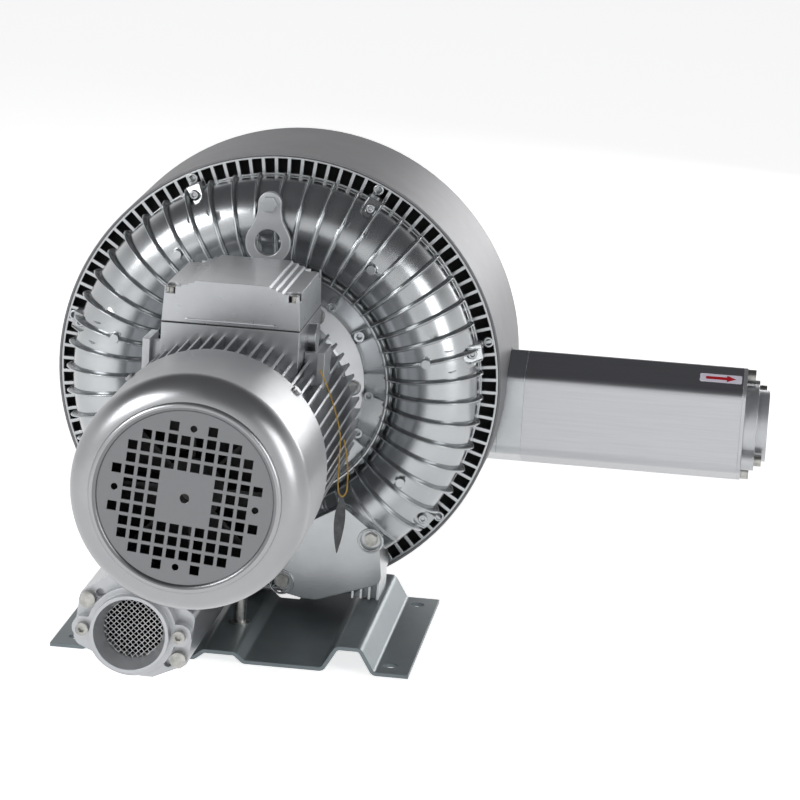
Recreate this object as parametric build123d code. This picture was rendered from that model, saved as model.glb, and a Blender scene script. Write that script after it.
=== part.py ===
from build123d import *
import math
import os

os.makedirs("parts", exist_ok=True)

# Side channel blower, two stages, flange motor in front, silencers on both ports.
# World frame: +Z up, floor at Z=0, origin midway between the four base holes.
# The motor axis runs along Y at X=0; the fan cowl faces -Y.
# Lengths along the axis are measured from the front plane of the slotted rim.

# --- driving dimensions, mm ---
axis_height = 251.0
rim_plane = 108.0

rim_radius = 240.0
rim_wall = 2.2
rim_depth = 12.0
slot_inner_radius = 221.0
slot_count = 104
slot_rib = 3.6

channel_radius = 173.0
channel_half_width = 42.0
channel_depth = 62.0
casting_wall = 5.0
hub_rib_radius = 125.0
hub_rib_front = -45.0
web_front = -16.0
web_back = -3.0
web_bore_r = 24.0
case_bore_radius = 216.0
stage_span = 104.0
joint_flange = 4.0
torus_rib_count = 52
torus_rib_height = 5.0
torus_rib_thick = 2.4
case_screw_count = 7
case_screw_radius = 218.5
case_screw_r = 4.0
case_lug_r = 8.0
crest_boss_r = 5.0
crest_boss_rise = 14.0
crest_boss_turns = (-121.0, -76.0, -37.0, 37.0, 76.0, 121.0)

shroud_front_radius = 243.0
shroud_back_radius = 246.5
shroud_sheet = 2.5
shroud_length = 181.0
shroud_lip = 18.0

impeller_radius = 213.5
impeller_width = 27.0
impeller_web = 4.0
blade_root_radius = 138.0
blade_count = 40
blade_thick = 2.5
running_gap = 2.0

port_x = 74.0
port_z = 70.0
port_turn = 30.0
port_face = -70.0
port_bore_r = 29.0
port_wall_half = 46.5
port_corner_half = 44.0
port_ear_half = 64.0
port_corner_r = 12.0
port_ear_r = 9.0
tie_rod_offset = 54.0
tie_rod_r = 4.0

inlet_collar_length = 80.0
outlet_collar_length = 27.0
silencer_length = 242.5
silencer_wall = 2.5
cap_thick = 4.0
cap_spigot = 8.0
liner_inner_r = 33.0
liner_outer_r = 43.0
flange_thick = 14.0
flange_body_r = 45.0
flange_lip = 12.0
lip_outer_r = 39.5
lip_inner_r = 36.0
flange_screw_offset = 48.5
flange_screw_r = 4.0
flange_ear_r = 11.5
inlet_spare_turn = 13.0
outlet_flange_turn = 50.0
outlet_spare_turn = -13.0
mesh_pitch = 9.0
mesh_wire = 1.6
mesh_thick = 1.6

outlet_y = 111.0
outlet_z = 215.0
outlet_face_x = 236.5

base_half_x = 187.5
base_half_y = 146.0
base_sheet = 4.0
base_hole_x = 166.0
base_hole_y = 117.5
base_hole_r = 7.5
crest_x = 124.0
crest_half = 12.0
crest_top = 28.0
crest_run = 14.0
flange_inner_x = 151.0
middle_x = -10.0
middle_half = 16.0
middle_top = 12.0
middle_run = 10.0
bend_r = 6.0
rear_notch_half = 48.0
rear_notch_y = 98.0

foot_x = 117.0
foot_half = 15.0
foot_front = -68.0
foot_back = -8.0
foot_bolt_r = 5.0
foot_bolt_ys = (-54.0, -22.0)
foot_bolt_x = crest_x

post_x = -6.0
post_y = -147.0
post_r = 6.5
post_boss_z = -103.0

shield_bolt_circle = 86.0
shield_bolt_count = 6
shield_bolt_r = 4.0
shield_bolt_gap = 0.3

frame_front = -160.0
frame_back = -424.0
frame_bore_r = 92.0
frame_r = 97.0
fin_tip_r = 111.0
fin_thick = 2.6
fin_count = 56
core_front = -215.0
core_back = -345.0
air_gap = 0.8
rotor_r = 54.0
pad_x = 88.0
pad_thick = 7.5
pad_half_height = 18.5
pad_z = 78.0
pad_front = -318.0
pad_length = 46.0

shaft_r = 15.0
shaft_core_r = 20.0
shaft_fan_r = 11.0
bearing_outer_r = 36.0
bearing_width = 19.0
ball_r = 5.5
ball_count = 8
race_gap = 0.05
drive_bearing_y = -62.0
rear_bearing_y = -412.0

cowl_r = 114.0
cowl_sheet = 1.8
cowl_front = -563.0
cowl_back = -423.0
cowl_shoulder = 27.0
bead_r = 87.0
bead_half = 2.2
bead_rise = 3.0
grille_pitch = 12.2
grille_hole = 8.8
grille_turn = 5.0

fan_front = -530.0
fan_back = -478.0
fan_r = 96.0
fan_blades = 8

box_front = -344.0
box_back = -196.0
box_half = 69.0
box_seam = 371.0
box_wall = 5.0
lid_edge = 408.0
lid_crown = 415.0
lid_flat_half = 32.0
gasket_thick = 1.5
box_foot = 300.0
plug_z = 352.0
plug_r = 15.0
plug_bore_r = 11.0
plug_head = 8.0
plug_spigot = 6.0

eye_x = -6.0
eye_plane = -78.0
eye_thick = 8.0
eye_hole_r = 13.0
eye_hole_z = 419.0
eye_bolt_z = 453.0
eye_bolt_r = 5.0
eye_bolt_gap = 0.3

cord_r = 0.8
tag_x = 117.0
tag_hole_r = 2.2
tag_length = 76.0
tag_width = 36.0
tag_thick = 0.8
tag_turn = 7.0

label_length = 46.0
label_width = 15.0
label_thick = 0.4

FOOT = (Align.CENTER, Align.CENTER, Align.MIN)


# --- shared helpers ---
def on_axis(shape):
    """Moves a shape from the motor axis frame, whose Y=0 is the rim plane, to the world."""
    return Pos(0, rim_plane, axis_height) * shape


def ring_solid(points):
    """Solid of revolution about the motor axis from (radius, y) points."""
    return revolve(make_face(Polyline(*points, close=True)), Axis.Y)


def cylinder_y(r, start, end, x=0.0, z=0.0):
    return Pos(x, (start + end) / 2, z) * Rot(90, 0, 0) * Cylinder(r, abs(end - start))


def block(x0, x1, y0, y1, z0, z1):
    centre = Pos((x0 + x1) / 2, (y0 + y1) / 2, (z0 + z1) / 2)
    return centre * Box(abs(x1 - x0), abs(y1 - y0), abs(z1 - z0))


def spread(shape, angles):
    """Copies of a shape turned about the motor axis, 0 at the top and clockwise from the front."""
    return [Rot(0, angle, 0) * shape for angle in angles]


def steps(count, start=0.0):
    return [start + 360.0 * index / count for index in range(count)]


def fuse(first, others):
    return first.fuse(*others)


def cut(first, others):
    return first.cut(*others)


def polygon_wire(points):
    return Wire.make_polygon([Vector(*point) for point in points], close=True)


# --- base ---
def base_profile_points():
    flat = base_sheet / 2
    crest = crest_top - base_sheet / 2
    middle = middle_top - base_sheet / 2
    crest_out = crest_x + crest_half
    crest_in = crest_x - crest_half
    right = [
        (middle_x + middle_half, middle),
        (middle_x + middle_half + middle_run, flat),
        (crest_in - crest_run, flat),
        (crest_in, crest),
        (crest_out, crest),
        (flange_inner_x, flat),
        (base_half_x, flat),
    ]
    left = [
        (-base_half_x, flat),
        (-flange_inner_x, flat),
        (-crest_out, crest),
        (-crest_in, crest),
        (crest_run - crest_in, flat),
        (middle_x - middle_half - middle_run, flat),
        (middle_x - middle_half, middle),
    ]
    return left + right


def make_base_plate():
    path = FilletPolyline(*base_profile_points(), radius=bend_r)
    section = Plane.XZ * trace(path, base_sheet)
    plate = Pos(0, base_half_y, 0) * extrude(section, base_half_y * 2)
    holes = [
        Pos(x, y, 0) * Cylinder(base_hole_r, 30)
        for x in (-base_hole_x, base_hole_x)
        for y in (-base_hole_y, base_hole_y)
    ]
    notch = block(middle_x - rear_notch_half, middle_x + rear_notch_half,
                  rear_notch_y, base_half_y + 1, -1, 40)
    feet = [
        Pos(x, rim_plane + y, crest_top) * Cylinder(foot_bolt_r + 0.3, 30)
        for x in (-foot_bolt_x, foot_bolt_x)
        for y in foot_bolt_ys
    ]
    post = Pos(post_x, rim_plane + post_y, middle_top) * Cylinder(post_r - 1.4, 30)
    return cut(plate, holes + [notch, post] + feet)


def make_base_bolts():
    head = Pos(0, 0, crest_top - base_sheet - 6) * extrude(RegularPolygon(8, 6), 6)
    shank = Pos(0, 0, crest_top - base_sheet + 12) * Cylinder(foot_bolt_r, 24)
    bolt = head + shank
    return [
        Pos(x, rim_plane + y, 0) * bolt
        for x in (-foot_bolt_x, foot_bolt_x)
        for y in foot_bolt_ys
    ]


# --- housings ---
def channel_face(front, depth):
    """Section of the side channel, opening towards +Y at y=front."""
    inner = channel_radius - channel_half_width
    outer = channel_radius + channel_half_width
    throat = front + web_front - web_back
    arc = ThreePointArc((inner, throat), (channel_radius, front - depth), (outer, throat))
    return make_face([arc, Line((outer, throat), (outer, front)), Line((outer, front), (inner, front)),
                      Line((inner, front), (inner, throat))])


def shell_outline():
    """Outer skin of the channel casting."""
    inner = channel_radius - channel_half_width - casting_wall
    outer = channel_radius + channel_half_width + casting_wall
    crest = web_back - channel_depth - casting_wall
    return ThreePointArc((inner, web_front), (channel_radius, crest), (outer, web_front + 4))


def shell_face():
    arc = shell_outline()
    start, end = arc @ 0, arc @ 1
    low = web_back + 2
    sides = [Line(end, (end.X, low)), Line((end.X, low), (start.X, low)), Line((start.X, low), start)]
    return make_face([arc] + sides)


def shield_bolt_turns():
    return steps(shield_bolt_count, 180.0 / shield_bolt_count)


def case_screw_turns():
    return steps(case_screw_count, 180.0 / case_screw_count)


def case_body(rib_count, crest_bosses=()):
    """One cast half: ribbed side channel, hub web, case wall and the lugs for the case screws."""
    split = stage_span / 2 - joint_flange / 2
    wall_r = slot_inner_radius
    shell = revolve(shell_face(), Axis.Y)
    if crest_bosses:
        shell = fuse(shell, crest_bosses)
    web = ring_solid([(web_bore_r, web_front), (channel_radius, web_front),
                      (channel_radius, web_back), (web_bore_r, web_back)])
    hub_rib = ring_solid([
        (hub_rib_radius - 2, hub_rib_front), (hub_rib_radius + 2, hub_rib_front),
        (hub_rib_radius + 4, web_front + 1), (hub_rib_radius - 4, web_front + 1),
    ])
    wall = ring_solid([
        (case_bore_radius, web_front + 4), (wall_r, web_front + 4),
        (wall_r, split), (case_bore_radius, split),
    ])
    crest = web_back - channel_depth - casting_wall - torus_rib_height
    low = (channel_radius - channel_half_width - 2, web_front + 3)
    high = (channel_radius + channel_half_width + 2, web_front + 6)
    rib_face = make_face([ThreePointArc(low, (channel_radius, crest), high), Line(high, low)])
    rib = extrude(rib_face, torus_rib_thick / 2, both=True)
    ribs = spread(Rot(0, -90, 0) * rib, steps(rib_count))
    lug = cylinder_y(case_lug_r, web_front + 2, split, z=case_screw_radius)
    return fuse(shell, [web, hub_rib, wall] + ribs + spread(lug, case_screw_turns()))


def case_cuts():
    """Side channel, impeller space, screw holes and their spot faces, cut from a finished half."""
    split = stage_span / 2 - joint_flange / 2
    channel = revolve(channel_face(web_back + 0.01, channel_depth), Axis.Y)
    cavity = ring_solid([(0, web_back), (case_bore_radius, web_back),
                         (case_bore_radius, split + 9), (0, split + 9)])
    screw = cylinder_y(case_screw_r + 0.3, web_front - 20, split + 1, z=case_screw_radius)
    spot = cylinder_y(case_lug_r + 0.8, web_front + 2, web_front - 60, z=case_screw_radius)
    return [channel, cavity] + spread(screw, case_screw_turns()) + spread(spot, case_screw_turns())


def slotted_rim():
    """Outer rim carried by radial ribs, with a cooling slot between every two ribs."""
    outer = rim_radius - rim_wall
    inner = slot_inner_radius
    wires = []
    for angle in steps(slot_count):
        half_in = math.degrees(math.asin(slot_rib / 2 / inner))
        half_out = math.degrees(math.asin(slot_rib / 2 / outer))
        pitch = 360.0 / slot_count
        corners = (
            (inner + 1.2, angle + half_in), (outer, angle + half_out),
            (outer, angle + pitch - half_out), (inner + 1.2, angle + pitch - half_in),
        )
        wires.append(polygon_wire([
            (r * math.cos(math.radians(a)), 0, r * math.sin(math.radians(a))) for r, a in corners
        ]))
    circle = Wire.make_circle(rim_radius, Plane.XZ)
    hole = Wire.make_circle(slot_inner_radius - 2, Plane.XZ)
    face = Face(circle, [hole] + wires)
    return Solid.extrude(face, Vector(0, rim_depth, 0))


def port_outline(grow=0.0):
    """Six-sided port section: flat top and bottom, ears on the local X axis for the tie rods."""
    half = port_wall_half + grow
    corner = port_corner_half + grow / 2
    ear = port_ear_half + grow
    points = [(corner, half), (ear, 0), (corner, -half), (-corner, -half), (-ear, 0), (-corner, half)]
    sketch = make_face(Polyline(*points, close=True))
    corners = [v for v in sketch.vertices() if abs(v.Y) >= 1]
    sketch = fillet(corners, port_corner_r)
    ears = [v for v in sketch.vertices() if abs(v.Y) < 1]
    return fillet(ears, port_ear_r)


def port_prism(start, end, grow=0.0):
    """Port section drawn along -Y from y=start to y=end, local X level."""
    section = Plane.XZ * port_outline(grow)
    return Pos(0, start, 0) * extrude(section, start - end)


def at_port(shape, side):
    """Places a port piece at the lower left (side=-1) or lower right (side=1) port, axis frame."""
    return Pos(side * port_x, 0, port_z - axis_height) * Rot(0, -side * port_turn, 0) * shape


def make_front_housing():
    crest = web_back - channel_depth
    boss = cylinder_y(crest_boss_r, crest - crest_boss_rise, crest - 2, z=channel_radius)
    body = case_body(torus_rib_count, spread(boss, crest_boss_turns))
    pads = [at_port(port_prism(-18, port_face), side) for side in (-1, 1)]
    feet = [
        block(side * (foot_x - foot_half), side * (foot_x + foot_half), foot_front, foot_back,
              crest_top - axis_height, 80 - axis_height)
        for side in (-1, 1)
    ]
    eye_boss = cylinder_y(9, eye_plane, web_front - 20, x=eye_x, z=eye_bolt_z - axis_height)
    body = fuse(body, pads + feet + [eye_boss, slotted_rim()])
    bores = [at_port(cylinder_y(port_bore_r, port_face - 1, -20), side) for side in (-1, 1)]
    rods = [
        at_port(cylinder_y(tie_rod_r + 0.2, port_face - 1, port_face + 20, x=ear * tie_rod_offset), side)
        for side in (-1, 1) for ear in (-1, 1)
    ]
    bolts = [
        Pos(side * foot_bolt_x, y, crest_top - axis_height + 10) * Cylinder(foot_bolt_r + 0.3, 24)
        for side in (-1, 1) for y in foot_bolt_ys
    ]
    clear = [at_port(port_prism(port_face, port_face - 20, 1.5), side) for side in (-1, 1)]
    eye_hole = cylinder_y(eye_bolt_r + eye_bolt_gap, eye_plane - 1, eye_plane + 26,
                          x=eye_x, z=eye_bolt_z - axis_height)
    shield_hole = cylinder_y(shield_bolt_r + shield_bolt_gap, web_front - 1, web_back + 1,
                             z=shield_bolt_circle)
    shield = spread(shield_hole, shield_bolt_turns())
    return on_axis(cut(body, case_cuts() + bores + rods + bolts + clear + [eye_hole] + shield))


def mirrored(shape):
    """Rear half of the case: the same casting turned end for end about the middle of the stages."""
    return Pos(0, stage_span, 0) * mirror(shape, Plane.XZ)


def outlet_prism(start, end, grow=0.0):
    """Port section along X from x=start to x=end, ears above and below."""
    section = Plane.YZ * Rot(0, 0, 90) * port_outline(grow)
    return Pos(start, outlet_y, outlet_z - axis_height) * extrude(section, end - start)


def outlet_cylinder(r, start, end, ear=0.0):
    centre = Pos((start + end) / 2, outlet_y, outlet_z - axis_height + ear)
    return centre * Rot(0, 90, 0) * Cylinder(r, end - start)


def make_rear_housing():
    duct = outlet_prism(188, outlet_face_x)
    bore = outlet_cylinder(port_bore_r, 180, outlet_face_x + 1)
    rods = [
        outlet_cylinder(tie_rod_r + 0.2, outlet_face_x - 20, outlet_face_x + 1, ear * tie_rod_offset)
        for ear in (-1, 1)
    ]
    arm = block(-4, 4, 150, 156, slot_inner_radius - 6, shroud_front_radius + 0.2)
    arms = spread(arm, steps(8, 22.5))
    stays = spread(block(-4, 4, 90, 156, slot_inner_radius - 4, slot_inner_radius + 4), steps(8, 22.5))
    body = fuse(mirrored(case_body(torus_rib_count // 2)), [duct] + arms + stays)
    return on_axis(cut(body, [mirrored(item) for item in case_cuts()] + [bore] + rods))


def make_centre_housing():
    """Plate between the stages, with a side channel in each face and the seat for both case halves."""
    half = stage_span / 2
    thick = half - (web_back + impeller_width + 2 * running_gap)
    front = half - thick
    back = half + thick
    lip = joint_flange / 2
    disc = ring_solid([
        (22, front), (case_bore_radius - 0.2, front), (case_bore_radius - 0.2, half - lip),
        (slot_inner_radius, half - lip), (slot_inner_radius, half + lip),
        (case_bore_radius - 0.2, half + lip), (case_bore_radius - 0.2, back), (22, back),
    ])
    lugs = spread(cylinder_y(case_lug_r, half - lip, half + lip, z=case_screw_radius),
                  case_screw_turns())
    holes = spread(cylinder_y(case_screw_r + 0.3, half - 30, half + 30, z=case_screw_radius),
                   case_screw_turns())
    depth = thick - 5
    groove = ring_solid([(channel_radius - channel_half_width, 0.01), (channel_radius - 20, -depth),
                         (channel_radius + 20, -depth), (channel_radius + channel_half_width - 2, 0.01)])
    grooves = [Pos(0, back, 0) * groove, Pos(0, front, 0) * mirror(groove, Plane.XZ)]
    hub = ring_solid([(60, front - 1), (118, front - 1), (118, half - 5), (60, half - 5)])
    hub_back = ring_solid([(60, back + 1), (118, back + 1), (118, half + 5), (60, half + 5)])
    return on_axis(cut(fuse(disc, lugs), holes + grooves + [hub, hub_back]))


def make_shroud():
    """Smooth drum around the case, with a lip at the back and an opening for the outlet duct."""
    shell = ring_solid([
        (shroud_front_radius - shroud_sheet, 0.5), (shroud_front_radius, 0.5),
        (shroud_back_radius, shroud_length), (shroud_back_radius - shroud_lip, shroud_length),
        (shroud_back_radius - shroud_lip, shroud_length - shroud_sheet),
        (shroud_back_radius - shroud_sheet, shroud_length - shroud_sheet),
    ])
    opening = outlet_prism(190, 270, 1.5)
    return on_axis(cut(shell, [opening]))


def make_case_screws():
    top = web_front + 2
    head = Pos(0, top, case_screw_radius) * Rot(90, 0, 0) * extrude(RegularPolygon(7, 6), 5.5)
    shank = cylinder_y(case_screw_r, top, stage_span - web_front - 10, z=case_screw_radius)
    return [on_axis(item) for item in spread(head + shank, case_screw_turns())]


def make_lifting_eye():
    plate = Circle(22).moved(Location((0, 0, 0)))
    tab = Pos(0, eye_bolt_z - eye_hole_z) * Circle(10.5)
    outline = make_hull([*plate.edges(), *tab.edges()])
    legs = Pos(0, -14) * Rectangle(44, 28)
    bolt_hole = Pos(0, eye_bolt_z - eye_hole_z) * Circle(eye_bolt_r + eye_bolt_gap)
    outline = outline + legs - Circle(eye_hole_r) - bolt_hole
    outline = outline - Pos(0, -16) * Rectangle(2 * eye_hole_r - 2, 32)
    solid = extrude(Plane.XZ * outline, eye_thick)
    return on_axis(Pos(eye_x, eye_plane, eye_hole_z - axis_height) * solid)


def make_eye_bolt():
    face = eye_plane - eye_thick
    head = Pos(eye_x, face, eye_bolt_z - axis_height) * Rot(90, 0, 0) * extrude(RegularPolygon(9, 6), 6.5)
    shank = cylinder_y(eye_bolt_r, face, eye_plane + 24, x=eye_x, z=eye_bolt_z - axis_height)
    return on_axis(head + shank)


def make_port_cover():
    """Blind cover on the unused port, with round recesses for its two screws."""
    plate = port_prism(port_face, port_face - 14)
    plate = plate.cut(*[
        cylinder_y(11, port_face - 15, port_face - 7, x=ear * tie_rod_offset) for ear in (-1, 1)
    ])
    plate = plate.cut(*[
        cylinder_y(tie_rod_r + 0.3, port_face - 15, port_face + 1, x=ear * tie_rod_offset)
        for ear in (-1, 1)
    ])
    return on_axis(at_port(plate, 1))


def make_cover_bolts():
    bolts = []
    for ear in (-1, 1):
        head = Rot(90, 0, 0) * extrude(RegularPolygon(7.5, 6), 6)
        head = Pos(ear * tie_rod_offset, port_face - 7, 0) * head
        shank = cylinder_y(tie_rod_r, port_face - 7, port_face + 18, x=ear * tie_rod_offset)
        bolts.append(on_axis(at_port(head + shank, 1)))
    return bolts


# --- silencers, drawn along -Y from y=0 at the collar's seat, local X level ---
def silencer_shell(start, end):
    outer = port_prism(start, end)
    inner = port_prism(start + 1, end - 1, -silencer_wall)
    return cut(outer, [inner])


def rod_holes(start, end, clear):
    return [cylinder_y(tie_rod_r + clear, start, end, x=ear * tie_rod_offset) for ear in (-1, 1)]


def silencer_parts(collar, flange_turn, spare_turn):
    """Every piece of one silencer, by name, with its seat at y=0 and its mouth towards -Y."""
    tube_end = -collar - silencer_length + cap_thick
    cap_end = tube_end - cap_thick
    mouth = cap_end - flange_thick
    body = port_prism(0, -collar)
    bore = cylinder_y(port_bore_r, 1, -collar - 1)
    collar_solid = cut(body, [bore] + rod_holes(1, -collar - 1, 0.3))
    tube = silencer_shell(-collar, tube_end)
    liner = cylinder_y(liner_outer_r, -collar - 1, tube_end + cap_spigot + 1)
    liner = cut(liner, [cylinder_y(liner_inner_r, 0, tube_end * 2)])
    spigot = port_prism(tube_end + cap_spigot, tube_end, -silencer_wall - 0.3)
    cap = port_prism(tube_end, cap_end) + spigot
    taps = [
        Rot(0, angle, 0)
        * cylinder_y(flange_screw_r, cap_end - 1, tube_end + 4, x=side * flange_screw_offset)
        for angle in (flange_turn, spare_turn) for side in (-1, 1)
    ]
    cap_bore = cylinder_y(port_bore_r + 1, 0, tube_end * 2)
    cap = cut(cap, [cap_bore] + rod_holes(0, tube_end * 2, 0.3) + taps)
    disc = cylinder_y(flange_body_r, cap_end, mouth)
    ears = [cylinder_y(flange_ear_r, cap_end, mouth, x=side * flange_screw_offset) for side in (-1, 1)]
    arms = block(-flange_screw_offset, flange_screw_offset, mouth, cap_end, -flange_ear_r, flange_ear_r)
    lip = cylinder_y(lip_outer_r, mouth, mouth - flange_lip)
    lip_relief = spread(cylinder_y(7.2, mouth, mouth - 40, z=flange_screw_offset), (90, 270))
    flange = fuse(disc, ears + [arms, lip])
    cone = ring_solid([
        (0, cap_end + 1), (port_bore_r + 0.8, cap_end + 1), (port_bore_r + 0.8, cap_end - 3),
        (lip_inner_r, mouth - flange_lip), (lip_inner_r, mouth - flange_lip - 1),
        (0, mouth - flange_lip - 1),
    ])
    seat = cylinder_y(port_bore_r + 3.2, cap_end + 1, cap_end - mesh_thick - 0.1)
    screws_clear = [
        cylinder_y(flange_screw_r + 0.3, 0, mouth - 20, x=side * flange_screw_offset) for side in (-1, 1)
    ]
    rod_clear = [
        Rot(0, -flange_turn, 0) * cylinder_y(9.5, cap_end + 1, mouth - 20, x=ear * tie_rod_offset)
        for ear in (-1, 1)
    ]
    flange = cut(flange, [cone, seat] + screws_clear + rod_clear + lip_relief)
    flange = Rot(0, flange_turn, 0) * flange
    rods = []
    for ear in (-1, 1):
        rod = cylinder_y(tie_rod_r, 16, cap_end, x=ear * tie_rod_offset)
        head = cylinder_y(8, cap_end, cap_end - 9, x=ear * tie_rod_offset)
        rods.append(rod + head)
    screws = []
    for side in (-1, 1):
        shank = cylinder_y(flange_screw_r, mouth, tube_end + 3.5, x=side * flange_screw_offset)
        head = cylinder_y(6.5, mouth, mouth - 8, x=side * flange_screw_offset)
        socket = Rot(-90, 0, 0) * extrude(RegularPolygon(3.4, 6), 4)
        socket = Pos(side * flange_screw_offset, mouth - 8, 0) * socket
        screws.append(Rot(0, flange_turn, 0) * (shank + head - socket))
    mesh = Pos(0, cap_end, 0) * mesh_disc(port_bore_r + 3, mesh_thick)
    return {
        "collar": collar_solid, "silencer_tube": tube, "liner": liner, "end_cap": cap,
        "port_flange": flange, "mesh": mesh, "flange_screws": screws, "tie_rods": rods,
    }


def mesh_disc(radius, thick):
    """Round grille with square holes set on edge, drawn towards -Y."""
    wires = []
    reach = radius - 4
    half = (mesh_pitch - mesh_wire) / 2
    count = int(radius * 1.5 / mesh_pitch) + 2
    for row in range(-count, count + 1):
        for column in range(-count, count + 1):
            x, z = row * mesh_pitch, column * mesh_pitch
            corners = [
                (x - half, z - half), (x + half, z - half), (x + half, z + half), (x - half, z + half),
            ]
            if max(math.hypot(*corner) for corner in corners) < reach:
                turned = [((a - b) / math.sqrt(2), 0, (a + b) / math.sqrt(2)) for a, b in corners]
                wires.append(polygon_wire(turned))
    face = Face(Wire.make_circle(radius, Plane.XZ), wires)
    return Solid.extrude(face, Vector(0, -thick, 0))


def place_inlet(shape):
    return on_axis(at_port(Pos(0, port_face, 0) * shape, -1))


def place_outlet(shape):
    turned = Rot(0, -90, 0) * shape
    spot = Pos(outlet_face_x, outlet_y, outlet_z - axis_height)
    return on_axis(spot * Rot(0, 0, 90) * turned)


# --- motor ---
def make_motor_frame():
    tube = ring_solid([(frame_bore_r, frame_front), (frame_r, frame_front), (frame_r, frame_back),
                       (frame_bore_r, frame_back)])
    fin = block(-fin_thick / 2, fin_thick / 2, frame_back, frame_front, frame_r - 2, fin_tip_r)
    fins = spread(fin, steps(fin_count, 180.0 / fin_count))
    box_zone = block(-box_half - 1, box_half + 1, box_front, box_back, 20, 160)
    pads = []
    for side in (-1, 1):
        pad = block(side * (pad_x - pad_thick / 2), side * (pad_x + pad_thick / 2),
                    pad_front, pad_front + pad_length,
                    pad_z - pad_half_height, pad_z + pad_half_height)
        web = block(side * 60, side * pad_x, pad_front + 14, pad_front + 22,
                    pad_z - pad_half_height, pad_z + pad_half_height - 4)
        pads += [pad, web]
    fins = [fin - box_zone for fin in fins]
    fins = [piece for piece in fins if piece.volume > 1]
    body = fuse(tube, fins + [item - box_zone for item in pads])
    bore = cylinder_y(frame_bore_r, frame_front + 1, frame_back - 1)
    lead = cylinder_box_opening()
    return on_axis(cut(body, [bore, lead]))


def cylinder_box_opening():
    return block(-22, 22, -290, -250, 60, 130)


def make_box_body():
    low = box_foot - axis_height
    top = box_seam - axis_height
    outer = block(-box_half, box_half, box_front, box_back, low, top)
    inner = block(-box_half + box_wall, box_half - box_wall, box_front + box_wall, box_back - box_wall,
                  frame_r + 8, top + 1)
    saddle = cylinder_y(frame_r, box_front - 5, box_back + 5)
    plugs = [
        Pos(side * box_half, (box_front + box_back) / 2, plug_z - axis_height)
        * Rot(0, 90, 0) * Cylinder(plug_bore_r, 30)
        for side in (-1, 1)
    ]
    body = cut(outer, [inner, saddle, cylinder_box_opening()] + plugs)
    return on_axis(body)


def box_screw_spots():
    inset = 8.0
    return [
        (x, y)
        for x in (-box_half + inset, box_half - inset)
        for y in (box_front + inset, box_back - inset)
    ]


def make_box_gasket():
    top = box_seam - axis_height
    outer = block(-box_half, box_half, box_front, box_back, top, top + gasket_thick)
    inner = block(-box_half + box_wall, box_half - box_wall, box_front + box_wall, box_back - box_wall,
                  top - 1, top + gasket_thick + 1)
    return on_axis(cut(outer, [inner]))


def make_box_lid():
    """Lid with a stepped crown between lowered side strips."""
    base = box_seam + gasket_thick - axis_height
    edge = lid_edge - axis_height
    crown = lid_crown - axis_height
    side = box_half - 2
    points = [(-box_half, base), (box_half, base), (side, edge)]
    drop = (crown - edge) / 3
    run = (side - 16 - lid_flat_half) / 3
    for index in range(3):
        x = side - 16 - run * index
        points += [(x, edge + drop * index), (x - 1.5, edge + drop * (index + 1))]
    points += [(-x, z) for x, z in reversed(points[2:])]
    section = make_face(Polyline(*points, close=True))
    lid = Pos(0, box_back, 0) * extrude(Plane.XZ * section, box_back - box_front)
    inner = block(-box_half + box_wall, box_half - box_wall, box_front + box_wall, box_back - box_wall,
                  base - 1, edge - 4)
    lid = cut(lid, [inner])
    pillars = [Pos(x, y, (base + edge) / 2) * Cylinder(6.5, edge - base) for x, y in box_screw_spots()]
    lid = fuse(lid, pillars)
    holes = [Pos(x, y, edge) * Cylinder(2.8, 100) for x, y in box_screw_spots()]
    sinks = [Pos(x, y, edge) * Cylinder(6.2, 6) for x, y in box_screw_spots()]
    return on_axis(cut(lid, holes + sinks))


def make_box_screws():
    seat = lid_edge - 3 - axis_height
    screw = Cylinder(5, 3.6, align=FOOT)
    hang = (Align.CENTER, Align.CENTER, Align.MAX)
    screw += Cylinder(2.5, seat - (box_seam - axis_height) - 1, align=hang)
    return [on_axis(Pos(x, y, seat) * screw) for x, y in box_screw_spots()]


def make_terminal_block():
    low = frame_r + 8
    base = block(-30, 30, -242, -222, low, low + 14)
    studs = [Pos(x, y, low + 18) * Cylinder(2.5, 12) for x in (-20, 0, 20) for y in (-237, -227)]
    return on_axis(fuse(base, studs))


def make_plugs():
    plugs = []
    y = (box_front + box_back) / 2
    for side in (-1, 1):
        head = Pos(side * (box_half + plug_head / 2), y, plug_z - axis_height)
        head = head * Rot(0, 90, 0) * Cylinder(plug_r, plug_head)
        spigot = Pos(side * (box_half - plug_spigot / 2), y, plug_z - axis_height)
        spigot = spigot * Rot(0, 90, 0) * Cylinder(plug_bore_r, plug_spigot)
        plugs.append(on_axis(head + spigot))
    return plugs


def make_stator_core():
    return on_axis(ring_solid([
        (rotor_r + air_gap, core_front), (frame_bore_r, core_front), (frame_bore_r, core_back),
        (rotor_r + air_gap, core_back),
    ]))


def make_windings():
    ends = []
    for start, end in ((core_front, core_front + 30), (core_back, core_back - 30)):
        ends.append(on_axis(ring_solid([
            (rotor_r + 6, start), (frame_bore_r - 8, start),
            (frame_bore_r - 12, end), (rotor_r + 10, end),
        ])))
    return ends


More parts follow.
